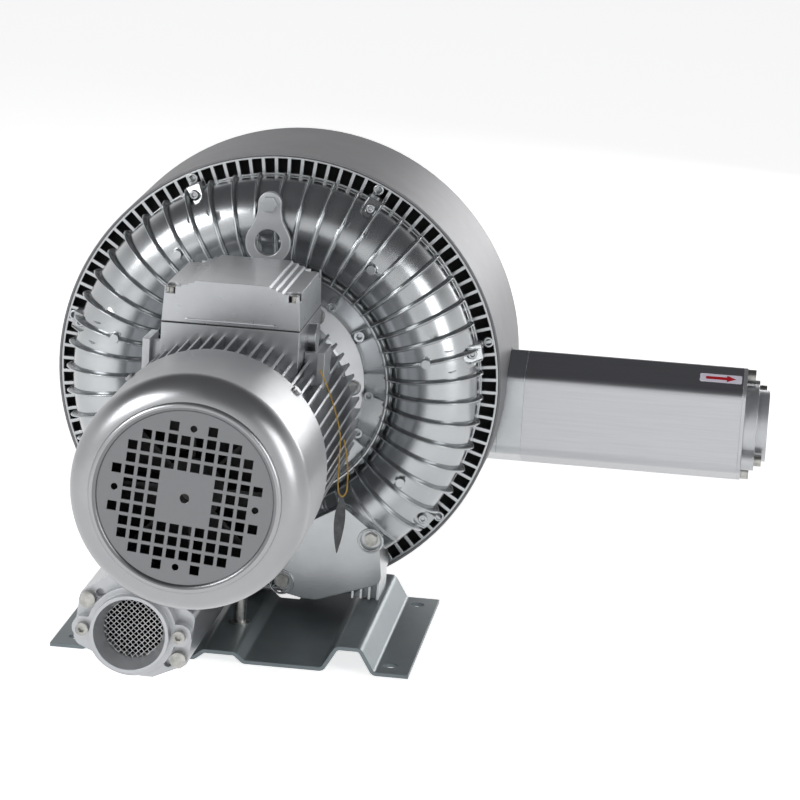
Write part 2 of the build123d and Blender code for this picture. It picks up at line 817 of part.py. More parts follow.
def make_drive_shield():
    """Bell between the motor frame and the front housing, with the drive end bearing seat."""
    bell = ring_solid([
        (24, web_front), (98, web_front), (98, web_front - 12), (78, web_front - 20), (78, -96),
        (frame_r + 3, frame_front + 12), (frame_r + 3, frame_front), (frame_bore_r, frame_front),
        (frame_bore_r - 0.1, frame_front - 6), (frame_bore_r - 6, frame_front - 6),
        (frame_bore_r - 6, frame_front + 10), (70, -92), (70, -84), (44, -84), (44, -72), (24, -72),
    ])
    seat = cylinder_y(bearing_outer_r, drive_bearing_y + bearing_width / 2, -200)
    bolt = cylinder_y(shield_bolt_r + shield_bolt_gap, web_front + 1, web_front - 13, z=shield_bolt_circle)
    bolts = spread(bolt, shield_bolt_turns())
    head_room = cylinder_y(8.5, web_front - 12, web_front - 40, z=shield_bolt_circle)
    heads = spread(head_room, shield_bolt_turns())
    throat = cylinder_y(24, -20, -80)
    boss = Pos(post_x, post_y, post_boss_z + 15) * Cylinder(11, 30)
    boss = boss - cylinder_y(frame_bore_r - 6, -300, -100)
    bell = cut(bell, [seat, throat] + bolts + heads)
    bell = bell + boss
    hole = Pos(post_x, post_y, post_boss_z) * Cylinder(post_r - 1.2, 36)
    return on_axis(bell - hole)


def make_shield_screws():
    screw = cylinder_y(shield_bolt_r, web_front - 12, web_back - 1, z=shield_bolt_circle)
    screw += Pos(0, web_front - 12, shield_bolt_circle) * Rot(90, 0, 0) * extrude(RegularPolygon(7, 6), 5.5)
    return [on_axis(item) for item in spread(screw, shield_bolt_turns())]


def make_rear_shield():
    disc = ring_solid([
        (24, frame_back), (frame_bore_r - 0.1, frame_back + 8), (frame_bore_r - 0.1, frame_back),
        (cowl_r - cowl_sheet, frame_back), (cowl_r - cowl_sheet, frame_back - 10), (24, frame_back - 10),
    ])
    hub = ring_solid([
        (24, frame_back - 14), (44, frame_back - 14), (44, rear_bearing_y + bearing_width / 2 + 2),
        (24, rear_bearing_y + bearing_width / 2 + 2),
    ])
    seat = cylinder_y(bearing_outer_r, rear_bearing_y - bearing_width / 2, rear_bearing_y + 40)
    screws = spread(Pos(0, cowl_back - 7, cowl_r) * Cylinder(2.8, 24), steps(4, 45))
    return on_axis(cut(fuse(disc, [hub]), [seat] + screws))


def make_cowl():
    """Pressed sheet cowl: straight skirt, round shoulder, bead and a face with a square grille."""
    r, s = cowl_r, cowl_sheet
    face = cowl_front
    flat = bead_r + bead_half
    turn = face + cowl_shoulder
    outer = [
        Line((r, cowl_back), (r, turn)),
        ThreePointArc((r, turn), (r - 5.6, turn - 15.6), (flat, face)),
        Line((flat, face), (bead_r, face - bead_rise)),
        Line((bead_r, face - bead_rise), (bead_r - bead_half, face)),
        Line((bead_r - bead_half, face), (bead_r - bead_half, face + s)),
        Line((bead_r - bead_half, face + s), (flat, face + s)),
        ThreePointArc((flat, face + s), (r - 5.6 - s, turn - 15.6 + s), (r - s, turn)),
        Line((r - s, turn), (r - s, cowl_back)),
        Line((r - s, cowl_back), (r, cowl_back)),
    ]
    skirt = revolve(make_face(outer), Axis.Y)
    face_wire = Wire.make_circle(bead_r - bead_half + 0.5, Plane.XZ)
    plate = Face(face_wire, grille_wires())
    grille = Solid.extrude(plate, Vector(0, s, 0))
    grille = Pos(0, face, 0) * Rot(0, grille_turn, 0) * grille
    screws = spread(Pos(0, cowl_back - 7, cowl_r) * Cylinder(2.8, 12), steps(4, 45))
    return on_axis(cut(fuse(skirt, [grille]), screws))


def grille_wires():
    """Square holes of the cowl: twelve rows, with a bare middle and bare quarters of the edge rows."""
    rows = {
        0: (4, 7), 1: range(2, 10), 2: range(1, 11), 3: range(1, 11),
        4: (0, 1, 2, 3, 8, 9, 10, 11), 5: (1, 2, 3, 8, 9, 10),
    }
    half = grille_hole / 2
    wires = []
    for row in range(12):
        for column in rows[min(row, 11 - row)]:
            x = (column - 5.5) * grille_pitch
            z = (row - 5.5) * grille_pitch
            wires.append(polygon_wire([
                (x - half, 0, z - half), (x + half, 0, z - half),
                (x + half, 0, z + half), (x - half, 0, z + half),
            ]))
    reach = 5.5 * grille_pitch
    for x, z, r in ((0, 0, 4.5), (reach, 0, 3.2), (-reach, 0, 3.2), (0, reach, 3.2), (0, -reach, 3.2)):
        wires.append(Wire.make_circle(r, Plane(origin=(x, 0, z), x_dir=(1, 0, 0), z_dir=(0, -1, 0))))
    return wires


def make_cowl_screws():
    screw = Cylinder(5, 3, align=FOOT)
    screw += Cylinder(2.5, 10, align=(Align.CENTER, Align.CENTER, Align.MAX))
    return [on_axis(item) for item in spread(Pos(0, cowl_back - 7, cowl_r) * screw, steps(4, 45))]


# --- rotor ---
def make_shaft():
    stations = [
        (shaft_fan_r, fan_front + 4), (shaft_fan_r, rear_bearing_y - bearing_width / 2 - 4),
        (shaft_r, rear_bearing_y - bearing_width / 2 - 4), (shaft_r, core_back - 24),
        (shaft_core_r, core_back - 24), (shaft_core_r, core_front + 24), (shaft_r, core_front + 24),
        (shaft_r, stage_span - web_back - 6), (10, stage_span - web_back - 6), (10, stage_span + 16),
    ]
    return on_axis(ring_solid([(0, fan_front + 4)] + stations + [(0, stage_span + 16)]))


def impeller(front):
    """Open impeller: hub, disc and blades standing on both faces of the rim web."""
    back = front + impeller_width
    middle = (front + back) / 2
    hub = ring_solid([
        (shaft_r + 0.02, front), (34, front), (40, middle - 5), (blade_root_radius - 2, middle - 5),
        (blade_root_radius, front + 4), (blade_root_radius + 3, front + 4),
        (blade_root_radius + 3, middle - 2), (impeller_radius - 1, middle - impeller_web / 2),
        (impeller_radius - 1, middle + impeller_web / 2), (blade_root_radius + 3, middle + 2),
        (blade_root_radius + 3, back - 4), (blade_root_radius, back - 4),
        (blade_root_radius - 2, middle + 5), (40, middle + 5), (34, back), (shaft_r + 0.02, back),
    ])
    blade = block(-blade_thick / 2, blade_thick / 2, front, back, blade_root_radius + 1, impeller_radius)
    blade = chamfer(blade.edges().filter_by(Axis.X), 5)
    return fuse(hub, spread(blade, steps(blade_count, 2)))


def make_front_impeller():
    return on_axis(impeller(web_back + running_gap))


def make_rear_impeller():
    return on_axis(impeller(stage_span - web_back - running_gap - impeller_width))


def make_spacer():
    start = web_back + running_gap + impeller_width
    end = stage_span - web_back - running_gap - impeller_width
    return on_axis(ring_solid([(shaft_r + 0.02, start), (21, start), (21, end), (shaft_r + 0.02, end)]))


def make_impeller_nut():
    start = stage_span - web_back - running_gap
    washer = ring_solid([(10.1, start), (22, start), (22, start + 3), (10.1, start + 3)])
    nut = Pos(0, start + 3, 0) * Rot(-90, 0, 0) * extrude(RegularPolygon(16, 6) - Circle(10.1), 9)
    return on_axis(fuse(washer, [nut]))


def make_rotor_core():
    return on_axis(ring_solid([
        (shaft_core_r, core_front), (rotor_r, core_front),
        (rotor_r, core_back), (shaft_core_r, core_back),
    ]))


def make_cooling_fan():
    hub = ring_solid([
        (shaft_fan_r, fan_back), (30, fan_back), (30, fan_front + 6), (shaft_fan_r, fan_front + 6),
    ])
    disc = ring_solid([(28, fan_back), (fan_r, fan_back), (fan_r, fan_back - 3), (28, fan_back - 3)])
    blade = block(-1.5, 1.5, fan_front + 8, fan_back - 1, 28, fan_r)
    return on_axis(fuse(hub, [disc] + spread(blade, steps(fan_blades))))


def bearing_pieces(y):
    """Outer ring, inner ring and the ball set of one deep groove bearing centred at y."""
    pitch = (shaft_r + bearing_outer_r) / 2
    half = bearing_width / 2
    groove_r = ball_r + race_gap
    land = 3.4
    groove = Pos(0, y, 0) * revolve(Pos(pitch, 0) * Circle(groove_r), Axis.Y)
    outer = ring_solid([
        (pitch + land, y - half), (bearing_outer_r, y - half),
        (bearing_outer_r, y + half), (pitch + land, y + half),
    ]).cut(groove)
    inner = ring_solid([
        (shaft_r, y - half), (pitch - land, y - half), (pitch - land, y + half), (shaft_r, y + half),
    ]).cut(groove)
    cage = ring_solid([
        (pitch - 1.6, y - half + 2), (pitch + 1.6, y - half + 2),
        (pitch + 1.6, y + 2.5), (pitch - 1.6, y + 2.5),
    ]).cut(*spread(Pos(0, y, pitch) * Sphere(ball_r + 0.05), steps(ball_count)))
    balls = spread(Pos(0, y, pitch) * Sphere(ball_r), steps(ball_count))
    return on_axis(outer), on_axis(inner), [on_axis(item) for item in [cage] + balls]


# --- post, label, cord and tag ---
def make_post():
    low = middle_top + 2.5
    high = axis_height + post_boss_z
    rod = Pos(0, 0, low) * Cylinder(post_r, high - low, align=FOOT)
    washer = Pos(0, 0, middle_top) * Cylinder(11, 2.5, align=FOOT)
    spigot = Pos(0, 0, middle_top - 10) * Cylinder(post_r - 1.5, 12, align=FOOT)
    tip = Pos(0, 0, high - 1) * Cylinder(post_r - 1.5, 17, align=FOOT)
    return Pos(post_x, rim_plane + post_y, 0) * (rod + washer + spigot + tip)


def make_label():
    """Flow label on the sloping upper face of the outlet silencer."""
    slope = math.degrees(math.atan2(port_ear_half - port_corner_half, port_wall_half))
    x = outlet_face_x + outlet_collar_length + silencer_length - label_length / 2 - 6
    middle = ((port_corner_half + port_ear_half) / 2, port_wall_half / 2)
    plate = Pos(0, 0, label_thick / 2) * Box(label_length, label_width, label_thick)
    placed = Pos(x, outlet_y - middle[1], outlet_z - axis_height + middle[0]) * Rot(slope, 0, 0) * plate
    return on_axis(placed)


def cord_points():
    """Route of the tag cord from the lifting pad, round the fins, through the tag and back."""
    y = pad_front - 1.0
    return [
        (88.0, y, 330.0), (95.0, y - 3, 318.0), (101.5, y - 4, 303.0), (107.5, y - 4, 286.0),
        (112.6, y - 3, 266.0), (112.2, y - 2, 245.0), (112.0, y - 1, 226.0), (112.1, y, 213.0),
        (113.2, y, 206.2), (117.0, y, 202.6), (120.6, y, 206.4), (121.5, y, 213.5), (121.6, y, 227.0),
        (119.4, y, 246.0), (115.6, y, 262.0),
    ]


def cord_path():
    points = [Vector(x, rim_plane + y, z) for x, y, z in cord_points()]
    radii = []
    for before, here, after in zip(points, points[1:], points[2:]):
        run = min((here - before).length, (after - here).length)
        turn = (here - before).get_angle(after - here)
        radii.append(0.45 * run / math.tan(math.radians(turn) / 2))
    return FilletPolyline(*points, radius=radii)


def make_cord():
    path = cord_path()
    print("cord radii", [round(edge.radius, 1) for edge in path.edges().filter_by(GeomType.CIRCLE)])
    section = Plane(origin=path @ 0, z_dir=path % 0) * Circle(cord_r)
    tube = sweep(section, path=path)
    ratio = tube.volume / (math.pi * cord_r ** 2 * path.length)
    print("cord length", round(path.length, 1), "volume ratio", round(ratio, 4))
    return tube


def make_tag():
    half = tag_width / 2
    outline = Polyline((0, 6), (7, 2), (half, -18), (half - 4, -44), (0, 6 - tag_length),
                       (4 - half, -44), (-half, -18), (-7, 2), close=True)
    face = make_face(outline) - Circle(tag_hole_r)
    plate = extrude(Plane.YZ * face, tag_thick / 2, both=True)
    loop_bottom = cord_path().bounding_box().min.Z
    hole_z = loop_bottom + cord_r + 0.1 - tag_hole_r
    return Pos(tag_x, rim_plane + pad_front - 1, hole_z) * Rot(0, 0, tag_turn) * plate


def export(name, shape):
    if isinstance(shape, (list, tuple)):
        shape = Compound([solid for item in shape for solid in item.solids()])
    shape.label = name
    export_step(shape, f"parts/{name}.step")


def main():
    export("base_plate", make_base_plate())
    export("base_bolts", make_base_bolts())
    export("support_post", make_post())
    export("front_housing", make_front_housing())
    export("centre_housing", make_centre_housing())
    export("rear_housing", make_rear_housing())
    export("outer_shroud", make_shroud())
    export("case_screws", make_case_screws())
    export("lifting_eye", make_lifting_eye())
    export("lifting_eye_bolt", make_eye_bolt())
    export("port_cover", make_port_cover())
    export("port_cover_bolts", make_cover_bolts())
    for name, shape in silencer_parts(inlet_collar_length, -port_turn, inlet_spare_turn).items():
        placed = [place_inlet(item) for item in shape] if isinstance(shape, list) else place_inlet(shape)
        export("inlet_" + name, placed)
    for name, shape in silencer_parts(outlet_collar_length, outlet_flange_turn, outlet_spare_turn).items():
        placed = [place_outlet(item) for item in shape] if isinstance(shape, list) else place_outlet(shape)
        export("outlet_" + name, placed)
    export("motor_frame", make_motor_frame())
    export("stator_core", make_stator_core())
    export("stator_windings", make_windings())
    export("drive_end_shield", make_drive_shield())
    export("shield_screws", make_shield_screws())
    export("rear_end_shield", make_rear_shield())
    export("fan_cowl", make_cowl())
    export("fan_cowl_screws", make_cowl_screws())
    export("terminal_box_body", make_box_body())
    export("terminal_box_gasket", make_box_gasket())
    export("terminal_box_lid", make_box_lid())
    export("terminal_box_screws", make_box_screws())
    export("terminal_block", make_terminal_block())
    export("blanking_plugs", make_plugs())
    export("shaft", make_shaft())
    export("front_impeller", make_front_impeller())
    export("rear_impeller", make_rear_impeller())
    export("impeller_spacer", make_spacer())
    export("impeller_nut", make_impeller_nut())
    export("rotor_core", make_rotor_core())
    export("cooling_fan", make_cooling_fan())
    for end, y in (("drive", drive_bearing_y), ("rear", rear_bearing_y)):
        outer, inner, balls = bearing_pieces(y)
        export(end + "_bearing_outer", outer)
        export(end + "_bearing_inner", inner)
        export(end + "_bearing_balls", balls)
    export("flow_label", make_label())
    export("tag_cord", make_cord())
    export("hang_tag", make_tag())


main()
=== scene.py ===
import bpy
import bmesh
import math
from mathutils import Matrix, Vector


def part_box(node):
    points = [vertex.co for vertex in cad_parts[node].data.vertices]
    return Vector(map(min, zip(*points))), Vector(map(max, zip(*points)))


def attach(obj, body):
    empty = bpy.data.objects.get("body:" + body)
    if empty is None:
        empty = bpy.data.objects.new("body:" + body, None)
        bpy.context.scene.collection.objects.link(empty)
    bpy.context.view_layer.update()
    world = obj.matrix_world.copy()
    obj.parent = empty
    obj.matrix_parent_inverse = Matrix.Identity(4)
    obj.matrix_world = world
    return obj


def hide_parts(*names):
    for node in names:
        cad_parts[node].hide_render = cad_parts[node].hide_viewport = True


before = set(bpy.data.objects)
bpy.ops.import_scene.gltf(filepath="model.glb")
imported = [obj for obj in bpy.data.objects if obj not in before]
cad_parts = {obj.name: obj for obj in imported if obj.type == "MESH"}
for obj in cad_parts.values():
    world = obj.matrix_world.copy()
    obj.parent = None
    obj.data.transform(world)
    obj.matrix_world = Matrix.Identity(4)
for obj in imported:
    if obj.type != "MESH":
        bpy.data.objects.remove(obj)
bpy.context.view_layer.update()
print("frame loaded:", len(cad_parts), "nodes")

# The motor axis runs along Y at x = 0; these two place everything that turns round it.
axisZ = 0.251
rimY = 0.108


def hexToLinear(code):
    values = [int(code[i:i + 2], 16) / 255 for i in (0, 2, 4)]
    return [v / 12.92 if v <= 0.04045 else ((v + 0.055) / 1.055) ** 2.4 for v in values] + [1.0]


def addNode(tree, kind, settings=None, inputs=None, links=None):
    node = tree.nodes.new(kind)
    for key, value in (settings or {}).items():
        setattr(node, key, value)
    for key, value in (inputs or {}).items():
        node.inputs[key].default_value = value
    for key, (source, socket) in (links or {}).items():
        tree.links.new(source.outputs[socket], node.inputs[key])
    return node


camera = {
    "place": (0.53104, -3.53417, 1.05647),
    "turn": (77.3363, -3.3522, 6.9669),  # degrees, XYZ
    "lens": 155.79,
    "sensor": 36.0,
}
camData = bpy.data.cameras.new("camera")
camData.lens = camera["lens"]
camData.sensor_width = camera["sensor"]
camData.sensor_height = camera["sensor"]
camData.clip_end = 60
camObject = bpy.data.objects.new("camera", camData)
camObject.location = camera["place"]
camObject.rotation_euler = [math.radians(a) for a in camera["turn"]]
bpy.context.scene.collection.objects.link(camObject)
bpy.context.scene.camera = camObject
print("camera set")


def newMaterial(name, baseHex, metallic, roughness):
    material = bpy.data.materials.new(name)
    material.use_nodes = True
    tree = material.node_tree
    shader = tree.nodes["Principled BSDF"]
    shader.inputs["Base Color"].default_value = hexToLinear(baseHex)
    shader.inputs["Metallic"].default_value = metallic
    shader.inputs["Roughness"].default_value = roughness
    coords = tree.nodes.new("ShaderNodeTexCoord")
    return material, tree, shader, coords


multiply = {"operation": "MULTIPLY"}


def patchNoise(tree, coords, sizeMm, stretch, detail, roughness=0.5):
    # noise on the object's own coordinates; sizeMm is the width of one patch
    place = addNode(tree, "ShaderNodeMapping", None, {"Scale": stretch}, {"Vector": (coords, "Object")})
    return addNode(tree, "ShaderNodeTexNoise", None,
                   {"Scale": 1000 / sizeMm, "Detail": detail, "Roughness": roughness},
                   {"Vector": (place, "Vector")})


def varyColour(tree, shader, coords, darkHex, lightHex, sizeMm, low=0.35, high=0.65, stretch=(1, 1, 1)):
    # slow drift between two close colours
    noise = patchNoise(tree, coords, sizeMm, stretch, detail=4.0, roughness=0.6)
    ramp = addNode(tree, "ShaderNodeValToRGB", links={"Fac": (noise, "Fac")})
    ramp.color_ramp.elements[0].position = low
    ramp.color_ramp.elements[0].color = hexToLinear(darkHex)
    ramp.color_ramp.elements[1].position = high
    ramp.color_ramp.elements[1].color = hexToLinear(lightHex)
    tree.links.new(ramp.outputs["Color"], shader.inputs["Base Color"])


def varyRoughness(tree, shader, coords, low, high, sizeMm, stretch=(1, 1, 1)):
    noise = patchNoise(tree, coords, sizeMm, stretch, detail=5.0, roughness=0.65)
    ranged = addNode(tree, "ShaderNodeMapRange", None, {"To Min": low, "To Max": high},
                     {"Value": (noise, "Fac")})
    tree.links.new(ranged.outputs["Result"], shader.inputs["Roughness"])


def addBump(tree, shader, coords, sizeMm, depthMm, strength, stretch=(1, 1, 1), detail=3.0, edgeMm=0.0):
    noise = patchNoise(tree, coords, sizeMm, stretch, detail)
    bump = addNode(tree, "ShaderNodeBump", None, {"Strength": strength, "Distance": depthMm / 1000},
                   {"Height": (noise, "Fac")})
    if edgeMm:
        # a worn, slightly rounded edge catches a thin line of light
        edge = addNode(tree, "ShaderNodeBevel", {"samples": 4}, {"Radius": edgeMm / 1000})
        tree.links.new(edge.outputs["Normal"], bump.inputs["Normal"])
    tree.links.new(bump.outputs["Normal"], shader.inputs["Normal"])


finishes = {}


def paintedCasting(name, darkHex, lightHex, rough, metallic=0.94):
    # pressure-cast aluminium under a thin silver lacquer: a bright skin with the grain of the mould showing
    material, tree, shader, coords = newMaterial(name, lightHex, metallic, rough)
    varyColour(tree, shader, coords, darkHex, lightHex, sizeMm=60, low=0.25, high=0.75)
    varyRoughness(tree, shader, coords, rough - 0.04, rough + 0.06, sizeMm=9)
    # the grain is drawn coarser than it is, so that it shows
    addBump(tree, shader, coords, sizeMm=2.6, depthMm=0.10, strength=0.22, edgeMm=1.1)
    shader.inputs["Coat Weight"].default_value = 0.25
    shader.inputs["Coat Roughness"].default_value = 0.12
    return material


def paintedSheet(name, darkHex, lightHex, rough, metallic=0.8):
    # pressed steel sheet under a smooth silver lacquer, with a very fine orange peel
    material, tree, shader, coords = newMaterial(name, lightHex, metallic, rough)
    varyColour(tree, shader, coords, darkHex, lightHex, sizeMm=120, low=0.3, high=0.7)
    varyRoughness(tree, shader, coords, rough - 0.03, rough + 0.05, sizeMm=22)
    addBump(tree, shader, coords, sizeMm=1.6, depthMm=0.04, strength=0.25, edgeMm=0.9)
    return material


def brushedAluminium(name, darkHex, lightHex, rough, stretch):
    # drawn or machined aluminium: fine lines one way, so the light runs in long soft streaks
    material, tree, shader, coords = newMaterial(name, lightHex, 1.0, rough)
    varyColour(tree, shader, coords, darkHex, lightHex, sizeMm=1.8, low=0.2, high=0.8, stretch=stretch)
    varyRoughness(tree, shader, coords, rough - 0.03, rough + 0.04, sizeMm=1.2, stretch=stretch)
    addBump(tree, shader, coords, sizeMm=1.0, depthMm=0.006, strength=0.15, stretch=stretch, edgeMm=0.6)
    return material


def plainMaterial(name, darkHex, lightHex, metallic, rough, sizeMm, bumpMm, bumpStrength):
    # one even material with a fine grain, a slower change of polish and a slower drift of colour
    material, tree, shader, coords = newMaterial(name, lightHex, metallic, rough)
    varyColour(tree, shader, coords, darkHex, lightHex, sizeMm * 8)
    varyRoughness(tree, shader, coords, max(0.02, rough - 0.05), rough + 0.06, sizeMm * 3)
    addBump(tree, shader, coords, sizeMm, bumpMm, bumpStrength)
    return material


cowlDisc = {"radius": 0.0872, "hex": "77787A"}


def darkerInnerDisc(material, disc):
    # the pierced disc inside the bead is coloured darker than the rolled shoulder round it
    tree = material.node_tree
    shader = tree.nodes["Principled BSDF"]
    coords = addNode(tree, "ShaderNodeTexCoord")
    fromAxis = addNode(tree, "ShaderNodeMapping", None, {"Location": (0, 0, -axisZ), "Scale": (1, 0, 1)},
                       {"Vector": (coords, "Object")})
    reach = addNode(tree, "ShaderNodeVectorMath", {"operation": "LENGTH"}, None, {0: (fromAxis, "Vector")})
    inside = addNode(tree, "ShaderNodeMath", {"operation": "LESS_THAN"}, {1: disc["radius"]},
                     {0: (reach, "Value")})
    skin = shader.inputs["Base Color"].links[0].from_node
    blend = addNode(tree, "ShaderNodeMixRGB", None, {"Color2": hexToLinear(disc["hex"])},
                    {"Fac": (inside, "Value"), "Color1": (skin, "Color")})
    tree.links.new(blend.outputs["Color"], shader.inputs["Base Color"])


finishes["castSilver"] = paintedCasting("silverLacqueredCastAluminium", "A6A9AB", "B4B7B9", 0.24)
finishes["flangeCast"] = paintedCasting("shotBlastedCastAluminium", "AEB0B3", "BCBEC1", 0.34, 0.72)
finishes["motorSilver"] = paintedCasting("silverLacqueredMotorCasting", "ADAFB2", "BBBDC0", 0.28, 0.9)
finishes["drum"] = paintedSheet("greyLacqueredDrumSheet", "77777A", "7F7F82", 0.46, 0.35)
finishes["cowl"] = paintedSheet("silverLacqueredCowlSheet", "9A9B9D", "A4A5A7", 0.29, 0.88)
darkerInnerDisc(finishes["cowl"], cowlDisc)
finishes["base"] = paintedSheet("silverLacqueredBaseSheet", "70797D", "7C8588", 0.36, 0.6)
finishes["tube"] = brushedAluminium("anodisedAluminiumExtrusion", "ABACAF", "B7B8BB", 0.30, (0.02, 1, 1))
finishes["tubeInlet"] = brushedAluminium("anodisedAluminiumExtrusionInlet", "ABACAF", "B7B8BB", 0.30,
                                         (1, 0.02, 1))
finishes["bareAluminium"] = brushedAluminium("machinedAluminium", "BEC0C3", "CBCDD0", 0.22, (1, 1, 1))
# name, dark and light colour, metallic, roughness, grain in mm, and the bump's depth in mm and strength
plainRecipes = {
    "zinc": ("zincPlatedSteel", "8F8F8C", "B5B4B0", 1.0, 0.30, 0.9, 0.02, 0.3),
    "bearing": ("polishedBearingSteel", "A5A6A8", "C3C4C6", 1.0, 0.12, 2.0, 0.01, 0.1),
    "core": ("laminatedCoreSteel", "4A4A4C", "66666A", 0.9, 0.45, 0.8, 0.05, 0.4),
    "copper": ("varnishedCopperWire", "8A4A2A", "B5693C", 0.7, 0.35, 1.2, 0.2, 0.6),
    "rubber": ("blackNitrileRubber", "141414", "1F1F1F", 0.0, 0.7, 0.8, 0.05, 0.4),
    "plastic": ("blackPolypropylene", "101112", "1C1D1E", 0.0, 0.42, 0.7, 0.03, 0.3),
    "foam": ("darkOpenCellFoam", "17171A", "2A2A2E", 0.0, 0.95, 1.6, 0.9, 0.9),
    "wire": ("stainlessSteelWire", "B0B1B3", "C9CACB", 1.0, 0.35, 0.8, 0.01, 0.2),
    "labelFilm": ("whitePolyesterFilm", "CFCBDB", "DEDAE6", 0.0, 0.3, 3.0, 0.01, 0.1),
    "labelRed": ("redPrintingInk", "A30A1C", "B81224", 0.0, 0.35, 3.0, 0.01, 0.1),
    "string": ("yellowTwistedCotton", "A8853A", "D2AC55", 0.0, 0.8, 0.6, 0.08, 0.6),
    # the next is no real part's finish: a flat black used as painted shade behind the rim's slots
    "gapBlack": ("matteBlackFoamStrip", "050505", "0A0A0A", 0.0, 0.9, 1.5, 0.05, 0.3),
    "card": ("darkLaminatedCard", "2E3032", "45484A", 0.0, 0.25, 1.5, 0.02, 0.3),
}
for key, recipe in plainRecipes.items():
    finishes[key] = plainMaterial(*recipe)

nodeFinish = {
    "base_plate": "base", "base_bolts": "zinc", "support_post": "zinc", "outer_shroud": "drum",
    "fan_cowl": "cowl", "fan_cowl_screws": "cowl", "port_cover_bolts": "zinc",
    "inlet_silencer_tube": "tubeInlet", "outlet_silencer_tube": "tube", "inlet_end_cap": "flangeCast",
    "outlet_end_cap": "flangeCast", "inlet_port_flange": "flangeCast", "outlet_port_flange": "flangeCast",
    "inlet_flange_screws": "zinc", "outlet_flange_screws": "zinc", "inlet_tie_rods": "zinc",
    "outlet_tie_rods": "zinc", "inlet_mesh": "wire", "outlet_mesh": "wire", "inlet_liner": "foam",
    "outlet_liner": "foam", "stator_core": "core", "rotor_core": "core", "stator_windings": "copper",
    "terminal_box_gasket": "rubber", "terminal_box_screws": "zinc", "terminal_block": "plastic",
    "cooling_fan": "plastic", "shaft": "zinc", "impeller_spacer": "zinc", "impeller_nut": "zinc",
    "front_impeller": "bareAluminium", "rear_impeller": "bareAluminium", "shield_screws": "zinc",
    "motor_frame": "motorSilver", "drive_end_shield": "motorSilver", "rear_end_shield": "motorSilver",
    "terminal_box_body": "motorSilver", "terminal_box_lid": "motorSilver", "blanking_plugs": "motorSilver",
    "flow_label": "labelFilm", "tag_cord": "string", "hang_tag": "card",
}
for nodeName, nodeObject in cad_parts.items():
    finish = nodeFinish.get(nodeName, "bearing" if "bearing" in nodeName else "castSilver")
    nodeObject.data.materials.clear()
    nodeObject.data.materials.append(finishes[finish])
print("materials given to", len(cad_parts), "nodes")


def linkMesh(name, mesh):
    piece = bpy.data.objects.new(name, mesh)
    bpy.context.scene.collection.objects.link(piece)
    return piece


def meshFromBm(name, bm, finish):
    mesh = bpy.data.meshes.new(name)
    bm.to_mesh(mesh)
    bm.free()
    mesh.materials.append(finishes[finish])
    return linkMesh(name, mesh)


def joinRings(bm, low, high):
    # a band of four-sided faces between two rings of as many points
    for k in range(len(low)):
        n = (k + 1) % len(low)
        bm.faces.new((low[k], low[n], high[n], high[k]))


def newTree(name, sizes):
    # a tree with a geometry output and one named float input for each size
    tree = bpy.data.node_groups.new(name, "GeometryNodeTree")
    tree.interface.new_socket("Geometry", in_out="OUTPUT", socket_type="NodeSocketGeometry")
    for label, value in sizes.items():
        socket = tree.interface.new_socket(label, in_out="INPUT", socket_type="NodeSocketFloat")
        socket.default_value = value
    return tree, tree.nodes.new("NodeGroupInput"), tree.nodes.new("NodeGroupOutput")


def closeTree(tree, source, result, finish):
    # what the source node makes is realized and given its material
    real = addNode(tree, "GeometryNodeRealizeInstances", links={"Geometry": source})
    paint = addNode(tree, "GeometryNodeSetMaterial", None, {"Material": finishes[finish]},
                    {"Geometry": (real, "Geometry")})
    tree.links.new(paint.outputs["Geometry"], result.inputs["Geometry"])


def bakedMesh(holder):
    # a plain mesh of what the object's modifiers make
    return bpy.data.meshes.new_from_object(holder.evaluated_get(bpy.context.evaluated_depsgraph_get()))


def treeToPiece(name, tree, sizes, place):
    holder = linkMesh(name + "Holder", bpy.data.meshes.new(name + "Holder"))
    modifier = holder.modifiers.new("build", "NODES")
    modifier.node_group = tree
    for item in tree.interface.items_tree:
        if item.in_out == "INPUT" and item.name in sizes:
            modifier[item.identifier] = float(sizes[item.name])
    mesh = bakedMesh(holder)
    holder.modifiers.remove(modifier)
    bpy.data.objects.remove(holder)
    mesh.transform(place)
    mesh.update()
    mesh.name = name
    return linkMesh(name, mesh)


tagString = {
    "diameter": 0.0016,
    "strandTurn": 0.0045,
    "step": 0.0006,
    "strandOffset": 0.27,  # this and the next as shares of the cord's diameter
    "strandRadius": 0.235,
    "strandSides": 7,
    "route": [
        (0.0880, -0.2110, 0.3300), (0.0950, -0.2140, 0.3180), (0.1015, -0.2150, 0.3030),
        (0.1075, -0.2150, 0.2860), (0.1126, -0.2140, 0.2660), (0.1122, -0.2130, 0.2450),
        (0.1120, -0.2120, 0.2260), (0.1121, -0.2110, 0.2130), (0.1132, -0.2110, 0.2062),
        (0.1170, -0.2110, 0.2026), (0.1206, -0.2110, 0.2064), (0.1215, -0.2110, 0.2135),
        (0.1216, -0.2110, 0.2270), (0.1194, -0.2110, 0.2460), (0.1156, -0.2110, 0.2620),
    ],
}
splineData = bpy.data.curves.new("tagRoute", "CURVE")
splineData.dimensions = "3D"
spline = splineData.splines.new("NURBS")
spline.points.add(len(tagString["route"]) - 1)
for point, place in zip(spline.points, tagString["route"]):
    point.co = (*place, 1.0)
spline.order_u = 3
spline.use_endpoint_u = True
spline.resolution_u = 16
routeObject = linkMesh("tagRoute", splineData)
routeMesh = bpy.data.meshes.new_from_object(routeObject)
routePoints = [v.co.copy() for v in routeMesh.vertices]
bpy.data.objects.remove(routeObject)
routeLength = sum((b - a).length for a, b in zip(routePoints, routePoints[1:]))


def alongLine(centres, side):
    # each centre with two directions square to the line there, carried along it without a twist
    for index, centre in enumerate(centres):
        ahead = centres[min(index + 1, len(centres) - 1)] - centres[max(index - 1, 0)]
        ahead.normalize()
        side = (side - ahead * side.dot(ahead)).normalized()
        yield centre, side, ahead.cross(side)


